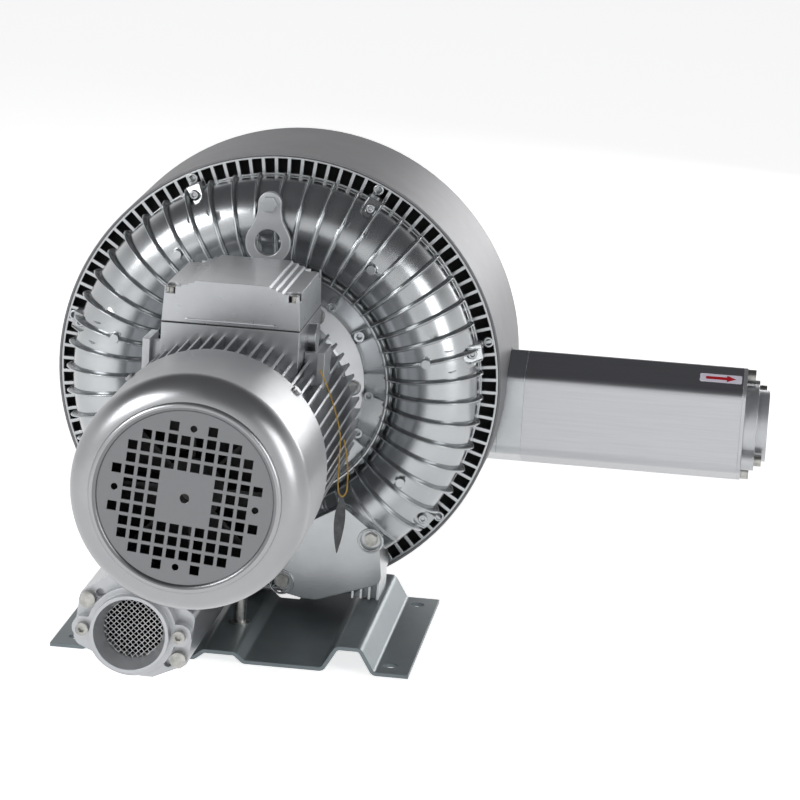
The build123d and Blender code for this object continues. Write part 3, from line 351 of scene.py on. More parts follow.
def strandTube(bm, centres, radius, sides):
    angles = [2 * math.pi * k / sides for k in range(sides)]
    rings = []
    for centre, side, other in alongLine(centres, Vector((1, 0, 0))):
        rings.append([bm.verts.new(centre + (side * math.cos(a) + other * math.sin(a)) * radius)
                      for a in angles])
    for low, high in zip(rings, rings[1:]):
        joinRings(bm, low, high)
    bm.faces.new(list(reversed(rings[0])))
    bm.faces.new(rings[-1])


def evenPoints(points, spacing):
    result = [points[0].copy()]
    carried = 0.0
    for a, b in zip(points, points[1:]):
        run = (b - a).length
        while run > 0 and carried + run >= spacing:
            a = a.lerp(b, (spacing - carried) / run)
            result.append(a.copy())
            run = (b - a).length
            carried = 0.0
        carried += run
    result.append(points[-1].copy())
    return result


centreLine = evenPoints(routePoints, tagString["step"])
offset = tagString["diameter"] * tagString["strandOffset"]
bm = bmesh.new()
strands = [[], [], []]
for index, (centre, side, other) in enumerate(alongLine(centreLine, Vector((0, 1, 0)))):
    turn = 2 * math.pi * index * tagString["step"] / tagString["strandTurn"]
    for k in range(3):
        a = turn + 2 * math.pi * k / 3
        strands[k].append(centre + (side * math.cos(a) + other * math.sin(a)) * offset)
for strand in strands:
    strandTube(bm, strand, tagString["diameter"] * tagString["strandRadius"], tagString["strandSides"])
cordPiece = meshFromBm("tagCord", bm, "string")
for face in cordPiece.data.polygons:
    face.use_smooth = True
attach(cordPiece, "housing")
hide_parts("tag_cord")

# The tag is a leaf: a narrow stem that widens, then runs to a point.
hangTag = {"top": (0.1170, -0.2110, 0.2028), "tip": (0.1146, -0.2110, 0.1446), "half": 0.0047,
           "thick": 0.0006, "widestAt": 0.42, "turn": 20, "stations": 16, "stem": 0.0010, "tipHalf": 0.0003,
           "fullness": 0.9, "bow": 4}
bm = bmesh.new()
top, tip = Vector(hangTag["top"]), Vector(hangTag["tip"])
across = Vector((math.cos(math.radians(hangTag["turn"])), math.sin(math.radians(hangTag["turn"])), 0))
facing = Vector((-across.y, across.x, 0)) * hangTag["thick"] / 2
rows = []
for k in range(hangTag["stations"] + 1):
    share = k / hangTag["stations"]
    swell = min(share / hangTag["widestAt"], (1 - share) / (1 - hangTag["widestAt"]))
    bulge = hangTag["half"] * math.sin(swell * math.pi / 2) ** hangTag["fullness"]
    half = hangTag["stem"] * (1 - share) + hangTag["tipHalf"] + bulge
    middle = top.lerp(tip, share) + facing * hangTag["bow"] * math.sin(math.pi * share)
    rows.append([bm.verts.new(middle + across * a * half + facing * b)
                 for a, b in ((-1, -1), (1, -1), (1, 1), (-1, 1))])
bm.faces.new(list(reversed(rows[0])))
bm.faces.new(rows[-1])
for low, high in zip(rows, rows[1:]):
    joinRings(bm, low, high)
bmesh.ops.recalc_face_normals(bm, faces=bm.faces)
tagPiece = meshFromBm("hangTagLeaf", bm, "card")
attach(tagPiece, "housing")
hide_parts("hang_tag")
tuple(tagString["route"][0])
[tuple(p) for p in routePoints]
print("tag cord", round(routeLength * 1000, 1), "mm")


# The mesh in both mouths is two rows of bent wire that cross; its sizes are the inputs of its tree.
wovenWire = {"Radius": 0.0315, "Pitch": 0.0041, "Wire": 0.0011, "Count": 16.0}


def wireRow(tree, given):
    # straight wires side by side along x, split finely enough to bend and cut off outside the mouth
    half = addNode(tree, "ShaderNodeMath", multiply, {1: -0.5}, {0: (given, "Count")})
    first = addNode(tree, "ShaderNodeMath", multiply, None,
                    {0: (half, "Value"), 1: (given, "Pitch")})
    reach = addNode(tree, "ShaderNodeMath", multiply, {1: -1.0}, {0: (given, "Radius")})
    start = addNode(tree, "ShaderNodeCombineXYZ", links={"X": (first, "Value")})
    step = addNode(tree, "ShaderNodeCombineXYZ", links={"X": (given, "Pitch")})
    line = addNode(tree, "GeometryNodeMeshLine", {"mode": "OFFSET"}, None,
                   {"Count": (given, "Count"), "Start Location": (start, "Vector"),
                    "Offset": (step, "Vector")})
    low = addNode(tree, "ShaderNodeCombineXYZ", links={"Z": (reach, "Value")})
    high = addNode(tree, "ShaderNodeCombineXYZ", links={"Z": (given, "Radius")})
    wire = addNode(tree, "GeometryNodeCurvePrimitiveLine",
                   links={"Start": (low, "Vector"), "End": (high, "Vector")})
    placed = addNode(tree, "GeometryNodeInstanceOnPoints",
                     links={"Points": (line, "Mesh"), "Instance": (wire, "Curve")})
    loose = addNode(tree, "GeometryNodeRealizeInstances", links={"Geometry": (placed, "Instances")})
    spacing = addNode(tree, "ShaderNodeMath", multiply, {1: 0.25}, {0: (given, "Pitch")})
    fine = addNode(tree, "GeometryNodeResampleCurve", {"mode": "LENGTH"}, None,
                   {"Curve": (loose, "Geometry"), "Length": (spacing, "Value")})
    place = addNode(tree, "GeometryNodeInputPosition")
    fromMiddle = addNode(tree, "ShaderNodeVectorMath", {"operation": "LENGTH"}, None,
                         {0: (place, "Position")})
    outside = addNode(tree, "FunctionNodeCompare", {"data_type": "FLOAT", "operation": "GREATER_THAN"}, None,
                      {"A": (fromMiddle, "Value"), "B": (given, "Radius")})
    return addNode(tree, "GeometryNodeDeleteGeometry", {"domain": "POINT"}, None,
                   {"Geometry": (fine, "Curve"), "Selection": (outside, "Result")})


def wireFamily(tree, given, flip):
    # one row bent over and under, made thick and turned; flip 1 and -1 give the two rows that cross
    row = wireRow(tree, given)
    place = addNode(tree, "GeometryNodeInputPosition")
    wave = addNode(tree, "ShaderNodeMath", {"operation": "DIVIDE"}, {0: math.pi}, {1: (given, "Pitch")})
    phase = addNode(tree, "ShaderNodeVectorMath", {"operation": "SCALE"}, None,
                    {0: (place, "Position"), "Scale": (wave, "Value")})
    swing = addNode(tree, "ShaderNodeVectorMath", {"operation": "COSINE"}, None, {0: (phase, "Vector")})
    parts = addNode(tree, "ShaderNodeSeparateXYZ", links={"Vector": (swing, "Vector")})
    both = addNode(tree, "ShaderNodeMath", multiply, None,
                   {0: (parts, "X"), 1: (parts, "Z")})
    size = addNode(tree, "ShaderNodeMath", multiply, {1: 0.55 * flip}, {0: (given, "Wire")})
    lift = addNode(tree, "ShaderNodeMath", multiply, None,
                   {0: (both, "Value"), 1: (size, "Value")})
    offset = addNode(tree, "ShaderNodeCombineXYZ", links={"Y": (lift, "Value")})
    bent = addNode(tree, "GeometryNodeSetPosition",
                   links={"Geometry": (row, "Geometry"), "Offset": (offset, "Vector")})
    thick = addNode(tree, "ShaderNodeMath", multiply, {1: 0.5}, {0: (given, "Wire")})
    profile = addNode(tree, "GeometryNodeCurvePrimitiveCircle", {"mode": "RADIUS"}, {"Resolution": 6},
                      {"Radius": (thick, "Value")})
    tube = addNode(tree, "GeometryNodeCurveToMesh", None, {"Fill Caps": True},
                   {"Curve": (bent, "Geometry"), "Profile Curve": (profile, "Curve")})
    return addNode(tree, "GeometryNodeTransform", None, {"Rotation": (0, math.radians(45 * flip), 0)},
                   {"Geometry": (tube, "Mesh")})


def wovenTree():
    tree, given, result = newTree("wovenWire", wovenWire)
    join = tree.nodes.new("GeometryNodeJoinGeometry")
    for flip in (1, -1):
        family = wireFamily(tree, given, flip)
        tree.links.new(family.outputs["Geometry"], join.inputs["Geometry"])
    closeTree(tree, (join, "Geometry"), result, "wire")
    return tree


wovenGroup = wovenTree()
for side in ("inlet", "outlet"):
    low, high = (Vector(corner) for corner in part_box(side + "_mesh"))
    middle = (low + high) / 2
    turn = Matrix.Rotation(math.radians(90), 4, "Z") if side == "outlet" else Matrix.Identity(4)
    piece = treeToPiece(side + "WovenWire", wovenGroup, wovenWire, Matrix.Translation(middle) @ turn)
    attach(piece, "housing")
    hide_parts(side + "_mesh")
print("woven wire in both mouths")


# The label lies on the top slope of the outlet silencer; its film carries a printed arrow.
flowLabel = {"length": 0.046, "width": 0.015, "corner": 0.0018, "cornerSteps": 6, "arrowLength": 0.033,
             "shaft": 0.0052, "head": 0.0118, "headLength": 0.010, "filmLow": -0.0002, "filmTop": 0.0001,
             "inkTop": 0.0002}
low, high = (Vector(corner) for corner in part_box("flow_label"))
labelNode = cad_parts["flow_label"]
labelNormal = Vector((0, 0, 0))
for face in labelNode.data.polygons:
    if face.normal.z > 0.3 and face.area > labelNormal.length:
        labelNormal = face.normal.copy() * face.area
labelNormal.normalize()
labelMiddle = (low + high) / 2


def labelPlace(u, v, w):
    across = Vector((1, 0, 0))
    up = labelNormal.cross(across)
    return labelMiddle + across * u + up * v + labelNormal * w


def flatPiece(name, outline, lowW, highW, finish):
    bm = bmesh.new()
    top = [bm.verts.new(labelPlace(u, v, highW)) for u, v in outline]
    bottom = [bm.verts.new(labelPlace(u, v, lowW)) for u, v in outline]
    bm.faces.new(top)
    bm.faces.new(list(reversed(bottom)))
    for k in range(len(outline)):
        n = (k + 1) % len(outline)
        bm.faces.new((top[k], bottom[k], bottom[n], top[n]))
    bmesh.ops.recalc_face_normals(bm, faces=bm.faces)
    return meshFromBm(name, bm, finish)


outline = []
halfU, halfV, corner = flowLabel["length"] / 2, flowLabel["width"] / 2, flowLabel["corner"]
for cu, cv, start in ((1, 1, 0), (-1, 1, 90), (-1, -1, 180), (1, -1, 270)):
    for step in range(flowLabel["cornerSteps"] + 1):
        a = math.radians(start + 90 / flowLabel["cornerSteps"] * step)
        outline.append((cu * (halfU - corner) + corner * math.cos(a),
                        cv * (halfV - corner) + corner * math.sin(a)))
film = flatPiece("flowLabelFilm", outline, flowLabel["filmLow"], flowLabel["filmTop"], "labelFilm")
reach = flowLabel["arrowLength"] / 2
neck = reach - flowLabel["headLength"]
head, shaft = flowLabel["head"] / 2, flowLabel["shaft"] / 2
arrow = [(reach, 0), (neck, head), (neck, shaft), (-reach, shaft), (-reach, -shaft), (neck, -shaft),
         (neck, -head)]
arrowPiece = flatPiece("flowArrow", arrow, flowLabel["filmTop"], flowLabel["inkTop"], "labelRed")
for piece in (film, arrowPiece):
    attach(piece, "housing")
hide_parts("flow_label")
print("flow label")


# Cast and turned pieces are drawn with z as the radius and y from the rim plane. What repeats is then
# copied round the axis.
def addHex(bm, low, high):
    # a block from two four-cornered ends, each listed the same way round
    ends = [[bm.verts.new(p) for p in end] for end in (low, high)]
    bm.faces.new(list(reversed(ends[0])))
    bm.faces.new(ends[1])
    joinRings(bm, *ends)


def addWall(bm, start, end, halfWidth, foot):
    # a thin upright rib between two (x, y, z) top points, running down to y = foot and thinner at the top
    topShare = 0.6
    run = Vector((end[0] - start[0], 0, end[2] - start[2])).normalized()
    side = Vector((run.z, 0, -run.x)) * halfWidth
    rows = []
    for top in (start, end):
        t = Vector(top)
        b = Vector((top[0], foot, top[2]))
        rows.append([t - side * topShare, t + side * topShare, b + side, b - side])
    addHex(bm, *rows)


def addTurned(bm, profile, place, sides, closed=False, upright=False):
    # a turned solid from (radius, y) points about the line through place (x, z), or from (radius, z) points
    # about an upright line through place (x, y); a closed profile gives a ring
    angles = [2 * math.pi * k / sides for k in range(sides)]
    rings = []
    for radius, along in profile:
        flat = [(place[0] + radius * math.cos(a), place[1] + radius * math.sin(a)) for a in angles]
        rings.append([bm.verts.new((u, v, along) if upright else (u, along, v)) for u, v in flat])
    pairs = list(zip(rings, rings[1:]))
    if closed:
        pairs.append((rings[-1], rings[0]))
    else:
        bm.faces.new(rings[-1])
        bm.faces.new(list(reversed(rings[0])))
    for low, high in pairs:
        joinRings(bm, low, high)


def addRing(bm, ring, place, sides):
    # a plain ring that narrows towards its front
    draft, edge = ring.get("draft", 0), ring.get("edge", 0)
    addTurned(bm, ((ring["inner"], ring["back"]), (ring["inner"] + draft, ring["front"]),
                   (ring["outer"] - edge, ring["front"]), (ring["outer"], ring["back"])),
              place, sides, closed=True)


def repeatTree(name, part, finish):
    tree, given, result = newTree(name, {"Count": 6.0, "Step": 1.0, "Start": 0.0})
    points = addNode(tree, "GeometryNodePoints", links={"Count": (given, "Count")})
    index = addNode(tree, "GeometryNodeInputIndex")
    turn = addNode(tree, "ShaderNodeMath", {"operation": "MULTIPLY_ADD"}, None,
                   {0: (index, "Index"), 1: (given, "Step"), 2: (given, "Start")})
    angle = addNode(tree, "ShaderNodeCombineXYZ", links={"Y": (turn, "Value")})
    spin = addNode(tree, "FunctionNodeEulerToRotation", links={"Euler": (angle, "Vector")})
    source = addNode(tree, "GeometryNodeObjectInfo", None, {"Object": part})
    placed = addNode(tree, "GeometryNodeInstanceOnPoints",
                     links={"Points": (points, "Points"), "Instance": (source, "Geometry"),
                            "Rotation": (spin, "Rotation")})
    closeTree(tree, (placed, "Instances"), result, finish)
    return tree


def finishPart(name, bm, finish, bevel=0.0, smooth=False):
    bmesh.ops.recalc_face_normals(bm, faces=bm.faces)
    part = meshFromBm(name, bm, finish)
    if smooth:
        part.data.shade_smooth()
    if bevel:
        edge = part.modifiers.new("bevel", "BEVEL")
        edge.width = bevel
        edge.segments = 2
        edge.limit_method = "ANGLE"
    return part


def repeatRound(name, bm, ring, finish="castSilver", bevel=0.0, smooth=False):
    # ring holds how many, the first one's turn from the top in degrees, and the turn to the next
    part = finishPart(name + "Part", bm, finish, bevel, smooth)
    turn = ring.get("turn", 360 / ring["count"])
    sizes = {"Count": ring["count"], "Step": math.radians(turn), "Start": math.radians(ring["start"])}
    place = Matrix.Translation((0, rimY, axisZ))
    piece = treeToPiece(name, repeatTree(name, part, finish), sizes, place)
    bpy.data.objects.remove(part)
    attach(piece, "housing")
    return piece


def singlePiece(name, bm, finish="castSilver", bevel=0.0, smooth=False):
    # a piece drawn in the same way, but made once
    part = finishPart(name + "Part", bm, finish, bevel, smooth)
    mesh = bakedMesh(part)
    bpy.data.objects.remove(part)
    mesh.transform(Matrix.Translation((0, rimY, axisZ)))
    mesh.name = name
    piece = linkMesh(name, mesh)
    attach(piece, "housing")
    return piece


# Ribs over the side channel follow the skin's own arc, given by three (radius, y) points on it.
channelRibs = {"count": 39, "start": -19 * 360 / 52, "turn": 360 / 52, "height": 0.0078, "sink": 0.0008,
               "halfRoot": 0.0031, "halfTop": 0.0015, "stations": 26, "endHeight": 0.25, "rise": 6,
               "arc": ((0.126, -0.016), (0.173, -0.070), (0.220, -0.012))}


def arcThrough(a, b, c):
    # centre, radius and end angles of the arc through three points
    d = 2 * (a[0] * (b[1] - c[1]) + b[0] * (c[1] - a[1]) + c[0] * (a[1] - b[1]))
    qa, qb, qc = (p[0] ** 2 + p[1] ** 2 for p in (a, b, c))
    x = (qa * (b[1] - c[1]) + qb * (c[1] - a[1]) + qc * (a[1] - b[1])) / d
    y = (qa * (c[0] - b[0]) + qb * (a[0] - c[0]) + qc * (b[0] - a[0])) / d
    radius = math.hypot(a[0] - x, a[1] - y)
    start = math.atan2(a[1] - y, a[0] - x)
    end = math.atan2(c[1] - y, c[0] - x)
    start -= 2 * math.pi if start > end else 0
    return x, y, radius, start, end


def addChannelRib(bm, sizes):
    x, y, radius, start, end = arcThrough(*sizes["arc"])
    # the section, as shares of the half width and the height; None is sunk into the skin
    shape = ((-1, None), (-0.8, 0.4), (-0.6, 0.82), (-0.26, 1.0),
             (0.26, 1.0), (0.6, 0.82), (0.8, 0.4), (1, None))
    narrowest = 0.3
    rows = []
    for k in range(sizes["stations"] + 1):
        share = k / sizes["stations"]
        a = start + (end - start) * share
        height = sizes["height"] * min(1.0, sizes["endHeight"] + sizes["rise"] * min(share, 1 - share))
        row = []
        for across, up in shape:
            reach = radius + (-sizes["sink"] if up is None else height * up)
            half = sizes["halfRoot"] if up is None else sizes["halfRoot"] * (1 - up) + sizes["halfTop"] * up
            aside = math.copysign(half, across) * max(abs(across), narrowest)
            row.append(bm.verts.new((aside, y + reach * math.sin(a), x + reach * math.cos(a))))
        rows.append(row)
    for low, high in zip(rows, rows[1:]):
        joinRings(bm, low, high)
    bm.faces.new(rows[0])
    bm.faces.new(list(reversed(rows[-1])))


bm = bmesh.new()
addChannelRib(bm, channelRibs)
repeatRound("channelRibs", bm, channelRibs, smooth=True)
print("ribs over the side channel")

# Double ribs with a boss, single ribs with a boss and thin ribs take turns round the hub web.
hubRibs = {"count": 6, "start": 58.0, "gap": 0.0062, "inner": 0.096, "outer": 0.1235, "foot": -0.0155,
           "topInner": -0.027, "topOuter": -0.044, "half": 0.0012,
           "boss": {"at": 0.106, "radius": 0.0066, "hole": 0.0030, "top": -0.0320}}
hubSingle = {"count": 6, "start": 34.5, "inner": 0.109, "topInner": -0.028, "half": 0.0013,
             "boss": {"at": 0.104, "radius": 0.0060, "hole": 0.0027, "top": -0.0330}}
hubThin = {"count": 6, "start": 81.0, "inner": 0.0955, "topInner": -0.024, "topOuter": -0.039, "half": 0.0010}
bossShape = {"taper": 0.0006, "holeTaper": 0.0003, "holeDepth": 0.0070}
hubRing = {"inner": 0.1232, "outer": 0.1276, "top": -0.0495, "foot": -0.016, "draft": 0.0004, "edge": 0.0014,
           "round": 0.0012}
innerRing = {"inner": 0.0938, "outer": 0.0962, "front": -0.0260, "back": -0.0155, "draft": 0.0004,
             "edge": 0.0004}


def addBoss(bm, boss):
    # a tapered boss on the hub web, with a blind hole in its top
    addTurned(bm, ((boss["radius"], hubRibs["foot"]), (boss["radius"] - bossShape["taper"], boss["top"]),
                   (boss["hole"], boss["top"]),
                   (boss["hole"] - bossShape["holeTaper"], boss["top"] + bossShape["holeDepth"])),
              (0, boss["at"]), sides=24)


bm = bmesh.new()
for side in (-1, 1):
    x = side * hubRibs["gap"]
    addWall(bm, (x, hubRibs["topInner"], hubRibs["inner"]), (x, hubRibs["topOuter"], hubRibs["outer"]),
            hubRibs["half"], hubRibs["foot"])
addBoss(bm, hubRibs["boss"])
repeatRound("hubDoubleRibs", bm, hubRibs, bevel=0.0003)
bm = bmesh.new()
addWall(bm, (0, hubSingle["topInner"], hubSingle["inner"]), (0, hubRibs["topOuter"], hubRibs["outer"]),
        hubSingle["half"], hubRibs["foot"])
addBoss(bm, hubSingle["boss"])
repeatRound("hubSingleRibs", bm, hubSingle, bevel=0.0003)
bm = bmesh.new()
addWall(bm, (0, hubThin["topInner"], hubThin["inner"]), (0, hubThin["topOuter"], hubRibs["outer"]),
        hubThin["half"], hubRibs["foot"])
repeatRound("hubThinRibs", bm, hubThin, bevel=0.0002)
bm = bmesh.new()
shoulder = hubRing["top"] + hubRing["round"]
addTurned(bm, ((hubRing["inner"], hubRing["foot"]), (hubRing["inner"] + hubRing["draft"], shoulder),
               (hubRing["inner"] + hubRing["edge"], hubRing["top"]),
               (hubRing["outer"] - hubRing["edge"], hubRing["top"]),
               (hubRing["outer"] - hubRing["draft"], shoulder), (hubRing["outer"], hubRing["foot"])),
          (0, 0), sides=120, closed=True)
addRing(bm, innerRing, (0, 0), sides=96)
singlePiece("hubRings", bm)
print("hub web ribs and rings")

# Seven lugs hold the case halves together; each is a tapered plate with two ridges and a socket screw.
# A ridge runs down through three (x, y, z) points, with a deeper foot on its lower half.
caseLug = {"count": 7, "start": 180 / 7, "tip": 0.2285, "base": 0.2070, "tipHalf": 0.0080, "baseHalf": 0.0102,
           "top": -0.0360, "slope": 0.006, "foot": -0.0110, "ridgeHalf": 0.0012,
           "ridge": ((0.0082, -0.0320, 0.2280), (0.0098, -0.0470, 0.2120), (0.0115, -0.0680, 0.1960)),
           "ridgeFeet": (-0.012, -0.020)}
caseScrew = {"at": 0.2190, "headRadius": 0.0050, "headTall": 0.0050, "edge": 0.0006, "shank": 0.0040,
             "shankEnd": 0.1100, "socket": 0.0025, "socketFloor": 0.0023, "socketDepth": 0.0030}
bm = bmesh.new()
ends = []
for half, radius, top in ((caseLug["tipHalf"], caseLug["tip"], caseLug["top"] + caseLug["slope"]),
                          (caseLug["baseHalf"], caseLug["base"], caseLug["top"] - caseLug["slope"])):
    ends.append([(-half, top, radius), (half, top, radius),
                 (half, caseLug["foot"], radius), (-half, caseLug["foot"], radius)])
addHex(bm, *ends)
for side in (-1, 1):
    ridge = [(side * x, y, z) for x, y, z in caseLug["ridge"]]
    for upper, lower, foot in zip(ridge, ridge[1:], caseLug["ridgeFeet"]):
        addWall(bm, upper, lower, caseLug["ridgeHalf"], foot)
repeatRound("caseLugs", bm, caseLug, bevel=0.0004)
bm = bmesh.new()
headTop = caseLug["top"] - caseScrew["headTall"]
addTurned(bm, ((caseScrew["shank"], caseScrew["shankEnd"]), (caseScrew["shank"], caseLug["top"]),
               (caseScrew["headRadius"], caseLug["top"]),
               (caseScrew["headRadius"], headTop + caseScrew["edge"]),
               (caseScrew["headRadius"] - caseScrew["edge"], headTop), (caseScrew["socket"], headTop),
               (caseScrew["socketFloor"], headTop + caseScrew["socketDepth"])),
          (0, caseScrew["at"]), sides=24)
screws = repeatRound("caseSocketScrews", bm, caseLug)
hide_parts("case_screws")
rimBoss = {"count": 7, "start": 24.8, "radius": 0.2330, "outer": 0.0058, "foot": 0.0110, "top": -0.0007,
           "edge": 0.0005, "hole": 0.0028, "holeEdge": 0.0009, "holeMouth": 0.0012, "holeFloor": 0.0026,
           "holeEnd": 0.0080}
bm = bmesh.new()
addTurned(bm, ((rimBoss["outer"], rimBoss["foot"]), (rimBoss["outer"], rimBoss["top"] + rimBoss["edge"]),
               (rimBoss["outer"] - rimBoss["edge"], rimBoss["top"]),
               (rimBoss["hole"] + rimBoss["holeEdge"], rimBoss["top"]),
               (rimBoss["hole"], rimBoss["holeMouth"]),
               (rimBoss["holeFloor"], rimBoss["holeEnd"])),
          (0, rimBoss["radius"]), sides=24)
repeatRound("rimBosses", bm, rimBoss)
# a black ring just behind the slots of the rim: painted shade for the dark gap seen through them
slotLining = {"inner": 0.2214, "outer": 0.2402, "front": 0.0135, "back": 0.0150}
bm = bmesh.new()
addRing(bm, slotLining, (0, 0), sides=144)
singlePiece("slotLining", bm, "gapBlack")
print("rim lugs, screws, bosses and paintedShadeRing")

# A rolled bead stands round the holes of the fan cowl.
cowlBead = {"radius": 0.0875, "half": 0.0042, "rise": 0.0036, "front": -0.563, "sink": 0.0004, "steps": 8}
bm = bmesh.new()
profile = []
for k in range(cowlBead["steps"] + 1):
    a = math.pi * k / cowlBead["steps"]
    profile.append((cowlBead["radius"] + cowlBead["half"] * math.cos(a),
                    cowlBead["front"] + cowlBead["sink"] - cowlBead["rise"] * math.sin(a)))
addTurned(bm, profile, (0, 0), sides=120, closed=True)
singlePiece("cowlBead", bm, "cowl", smooth=True)
print("cowl bead")


# The six-sided port pieces have their lowest corner cast flat, so their copies stop at a level underside.
flatUnderside = {"inlet_end_cap": 0.0215, "inlet_silencer_tube": 0.0215, "inlet_collar": 0.0215,
                 "port_cover": 0.0270, "front_housing": 0.0285}
undersideLeft = 0.04  # what stays of the corner's depth below that level
rimClear = 0.01  # nothing nearer the rim plane than this is flattened
weldDistance = 0.000002


def copyNode(nodeName, pieceName):
    # a CAD node's mesh under a new name, with its doubled corners joined
    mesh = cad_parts[nodeName].data.copy()
    mesh.name = pieceName
    bm = bmesh.new()
    bm.from_mesh(mesh)
    bmesh.ops.remove_doubles(bm, verts=bm.verts, dist=weldDistance)
    bm.to_mesh(mesh)
    bm.free()
    return linkMesh(pieceName, mesh)


for nodeName, level in flatUnderside.items():
    piece = copyNode(nodeName, "flat" + "".join(word.capitalize() for word in nodeName.split("_")))
    for vertex in piece.data.vertices:
        if vertex.co.z < level and vertex.co.y < rimY - rimClear:
            vertex.co.z = level - (level - vertex.co.z) * undersideLeft
    piece.data.update()
    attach(piece, "housing")
    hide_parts(nodeName)
    "silencer_aluminium" if "tube" in nodeName else "cast_silver"
print("level undersides on", len(flatUnderside), "port pieces")

# The lifting eye is a flat cast plate: a ring below and a narrow tab for its bolt above.
eyePlate = {"x": -0.006, "boltZ": 0.453, "holeZ": 0.4115, "tab": 0.0125, "ring": 0.024, "hole": 0.014,
            "boltHole": 0.0053, "front": -0.086, "thick": 0.008, "edge": 0.0006, "tabLow": 0.008,
            "neckLow": 0.018, "neck": 0.0145, "ringStart": 145, "ringEnd": 395}


def arcPoints(x, z, radius, first, last, count=16):
    # count + 1 points on an arc, from one angle in degrees to another
    angles = [math.radians(first + (last - first) * k / count) for k in range(count + 1)]
    return [(x + radius * math.cos(a), z + radius * math.sin(a)) for a in angles]


def platePiece(name, loops, sizes, finish):
    # a flat plate with holes, from loops of (x, z) points, lying in the plane of the rim
    data = bpy.data.curves.new(name, "CURVE")
    data.dimensions = "2D"
    data.fill_mode = "BOTH"
    data.extrude = sizes["thick"] / 2 - sizes["edge"]
    data.bevel_depth = sizes["edge"]
    data.bevel_resolution = 1
    data.offset = -sizes["edge"]
    for loop in loops:
        line = data.splines.new("POLY")
        line.points.add(len(loop) - 1)
        for point, (x, z) in zip(line.points, loop):
            point.co = (x, z, 0, 1)
        line.use_cyclic_u = True
    holder = linkMesh(name + "Outline", data)
    mesh = bpy.data.meshes.new_from_object(holder)
    bpy.data.objects.remove(holder)
    mesh.transform(Matrix.Translation((0, rimY + sizes["front"] + sizes["thick"] / 2, 0))
                   @ Matrix.Rotation(math.radians(90), 4, "X"))
    bm = bmesh.new()
    bm.from_mesh(mesh)
    bpy.data.meshes.remove(mesh)
    bmesh.ops.remove_doubles(bm, verts=bm.verts, dist=weldDistance)
    bmesh.ops.recalc_face_normals(bm, faces=bm.faces)
    return meshFromBm(name, bm, finish)


tab, ring = eyePlate["tab"], eyePlate["ring"]
neck = eyePlate["neck"]
tabZ = eyePlate["boltZ"] - eyePlate["tabLow"]
neckZ = eyePlate["boltZ"] - eyePlate["neckLow"]
outline = arcPoints(0, eyePlate["boltZ"], tab, 0, 180)
outline += [(-tab, tabZ), (-neck, neckZ)]
outline += arcPoints(0, eyePlate["holeZ"], ring, eyePlate["ringStart"], eyePlate["ringEnd"], 40)
outline += [(neck, neckZ), (tab, tabZ)]
loops = [outline, arcPoints(0, eyePlate["holeZ"], eyePlate["hole"], 0, 351, 39),
         arcPoints(0, eyePlate["boltZ"], eyePlate["boltHole"], 0, 345, 23)]
loops = [[(x + eyePlate["x"], z) for x, z in loop] for loop in loops]
eye = platePiece("liftingEyePlate", loops, eyePlate, "flangeCast")
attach(eye, "housing")
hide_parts("lifting_eye")
print("lifting eye")

# The blind cover has a raised ring round each bolt, and the casting beside it carries short cooling ribs.
coverRing = {"inner": 0.0118, "outer": 0.0142, "front": -0.0858, "back": -0.0830, "draft": 0.0004,
             "edge": 0.0006, "places": ((0.1208, 0.097), (0.0272, 0.043))}
bm = bmesh.new()
for x, z in coverRing["places"]:
    addRing(bm, coverRing, (x, z - axisZ), sides=40)
singlePiece("coverRings", bm)
footRib = {"xs": (0.104, 0.113, 0.122, 0.131), "half": 0.0014, "low": 0.030, "high": 0.062, "front": -0.079,
           "back": -0.066, "slope": 0.004}


def oblong(x0, x1, front, back, z):
    # four corners at one height, for either end of a block
    return [(x0, front, z - axisZ), (x1, front, z - axisZ), (x1, back, z - axisZ), (x0, back, z - axisZ)]


bm = bmesh.new()
for x in footRib["xs"]:
    left, right = x - footRib["half"], x + footRib["half"]
    addHex(bm, oblong(left, right, footRib["front"], footRib["back"], footRib["low"]),
           oblong(left, right, footRib["front"] + footRib["slope"], footRib["back"], footRib["high"]))
singlePiece("footRibs", bm, bevel=0.0004)
print("cover rings and foot ribs")

# Corner pockets for the lid screws are cut from a copy of the lid; the screws stand up in them.
lidPocket = {"places": ((-0.061, -0.336), (0.061, -0.336), (-0.061, -0.204), (0.061, -0.204)),
             "radius": 0.0092, "floor": 0.4005, "top": 0.4300}
lidScrew = {"headRadius": 0.0050, "headTop": 0.4062, "edge": 0.0005, "shank": 0.0025, "shankLow": 0.375,
            "socket": 0.0026, "socketFloor": 0.0024, "socketDepth": 0.0028}
lidLedge = {"left": -0.046, "right": 0.046, "low": 0.3752, "high": 0.3772, "front": -0.3458, "back": -0.343,
            "slope": 0.003, "lip": 0.0006}


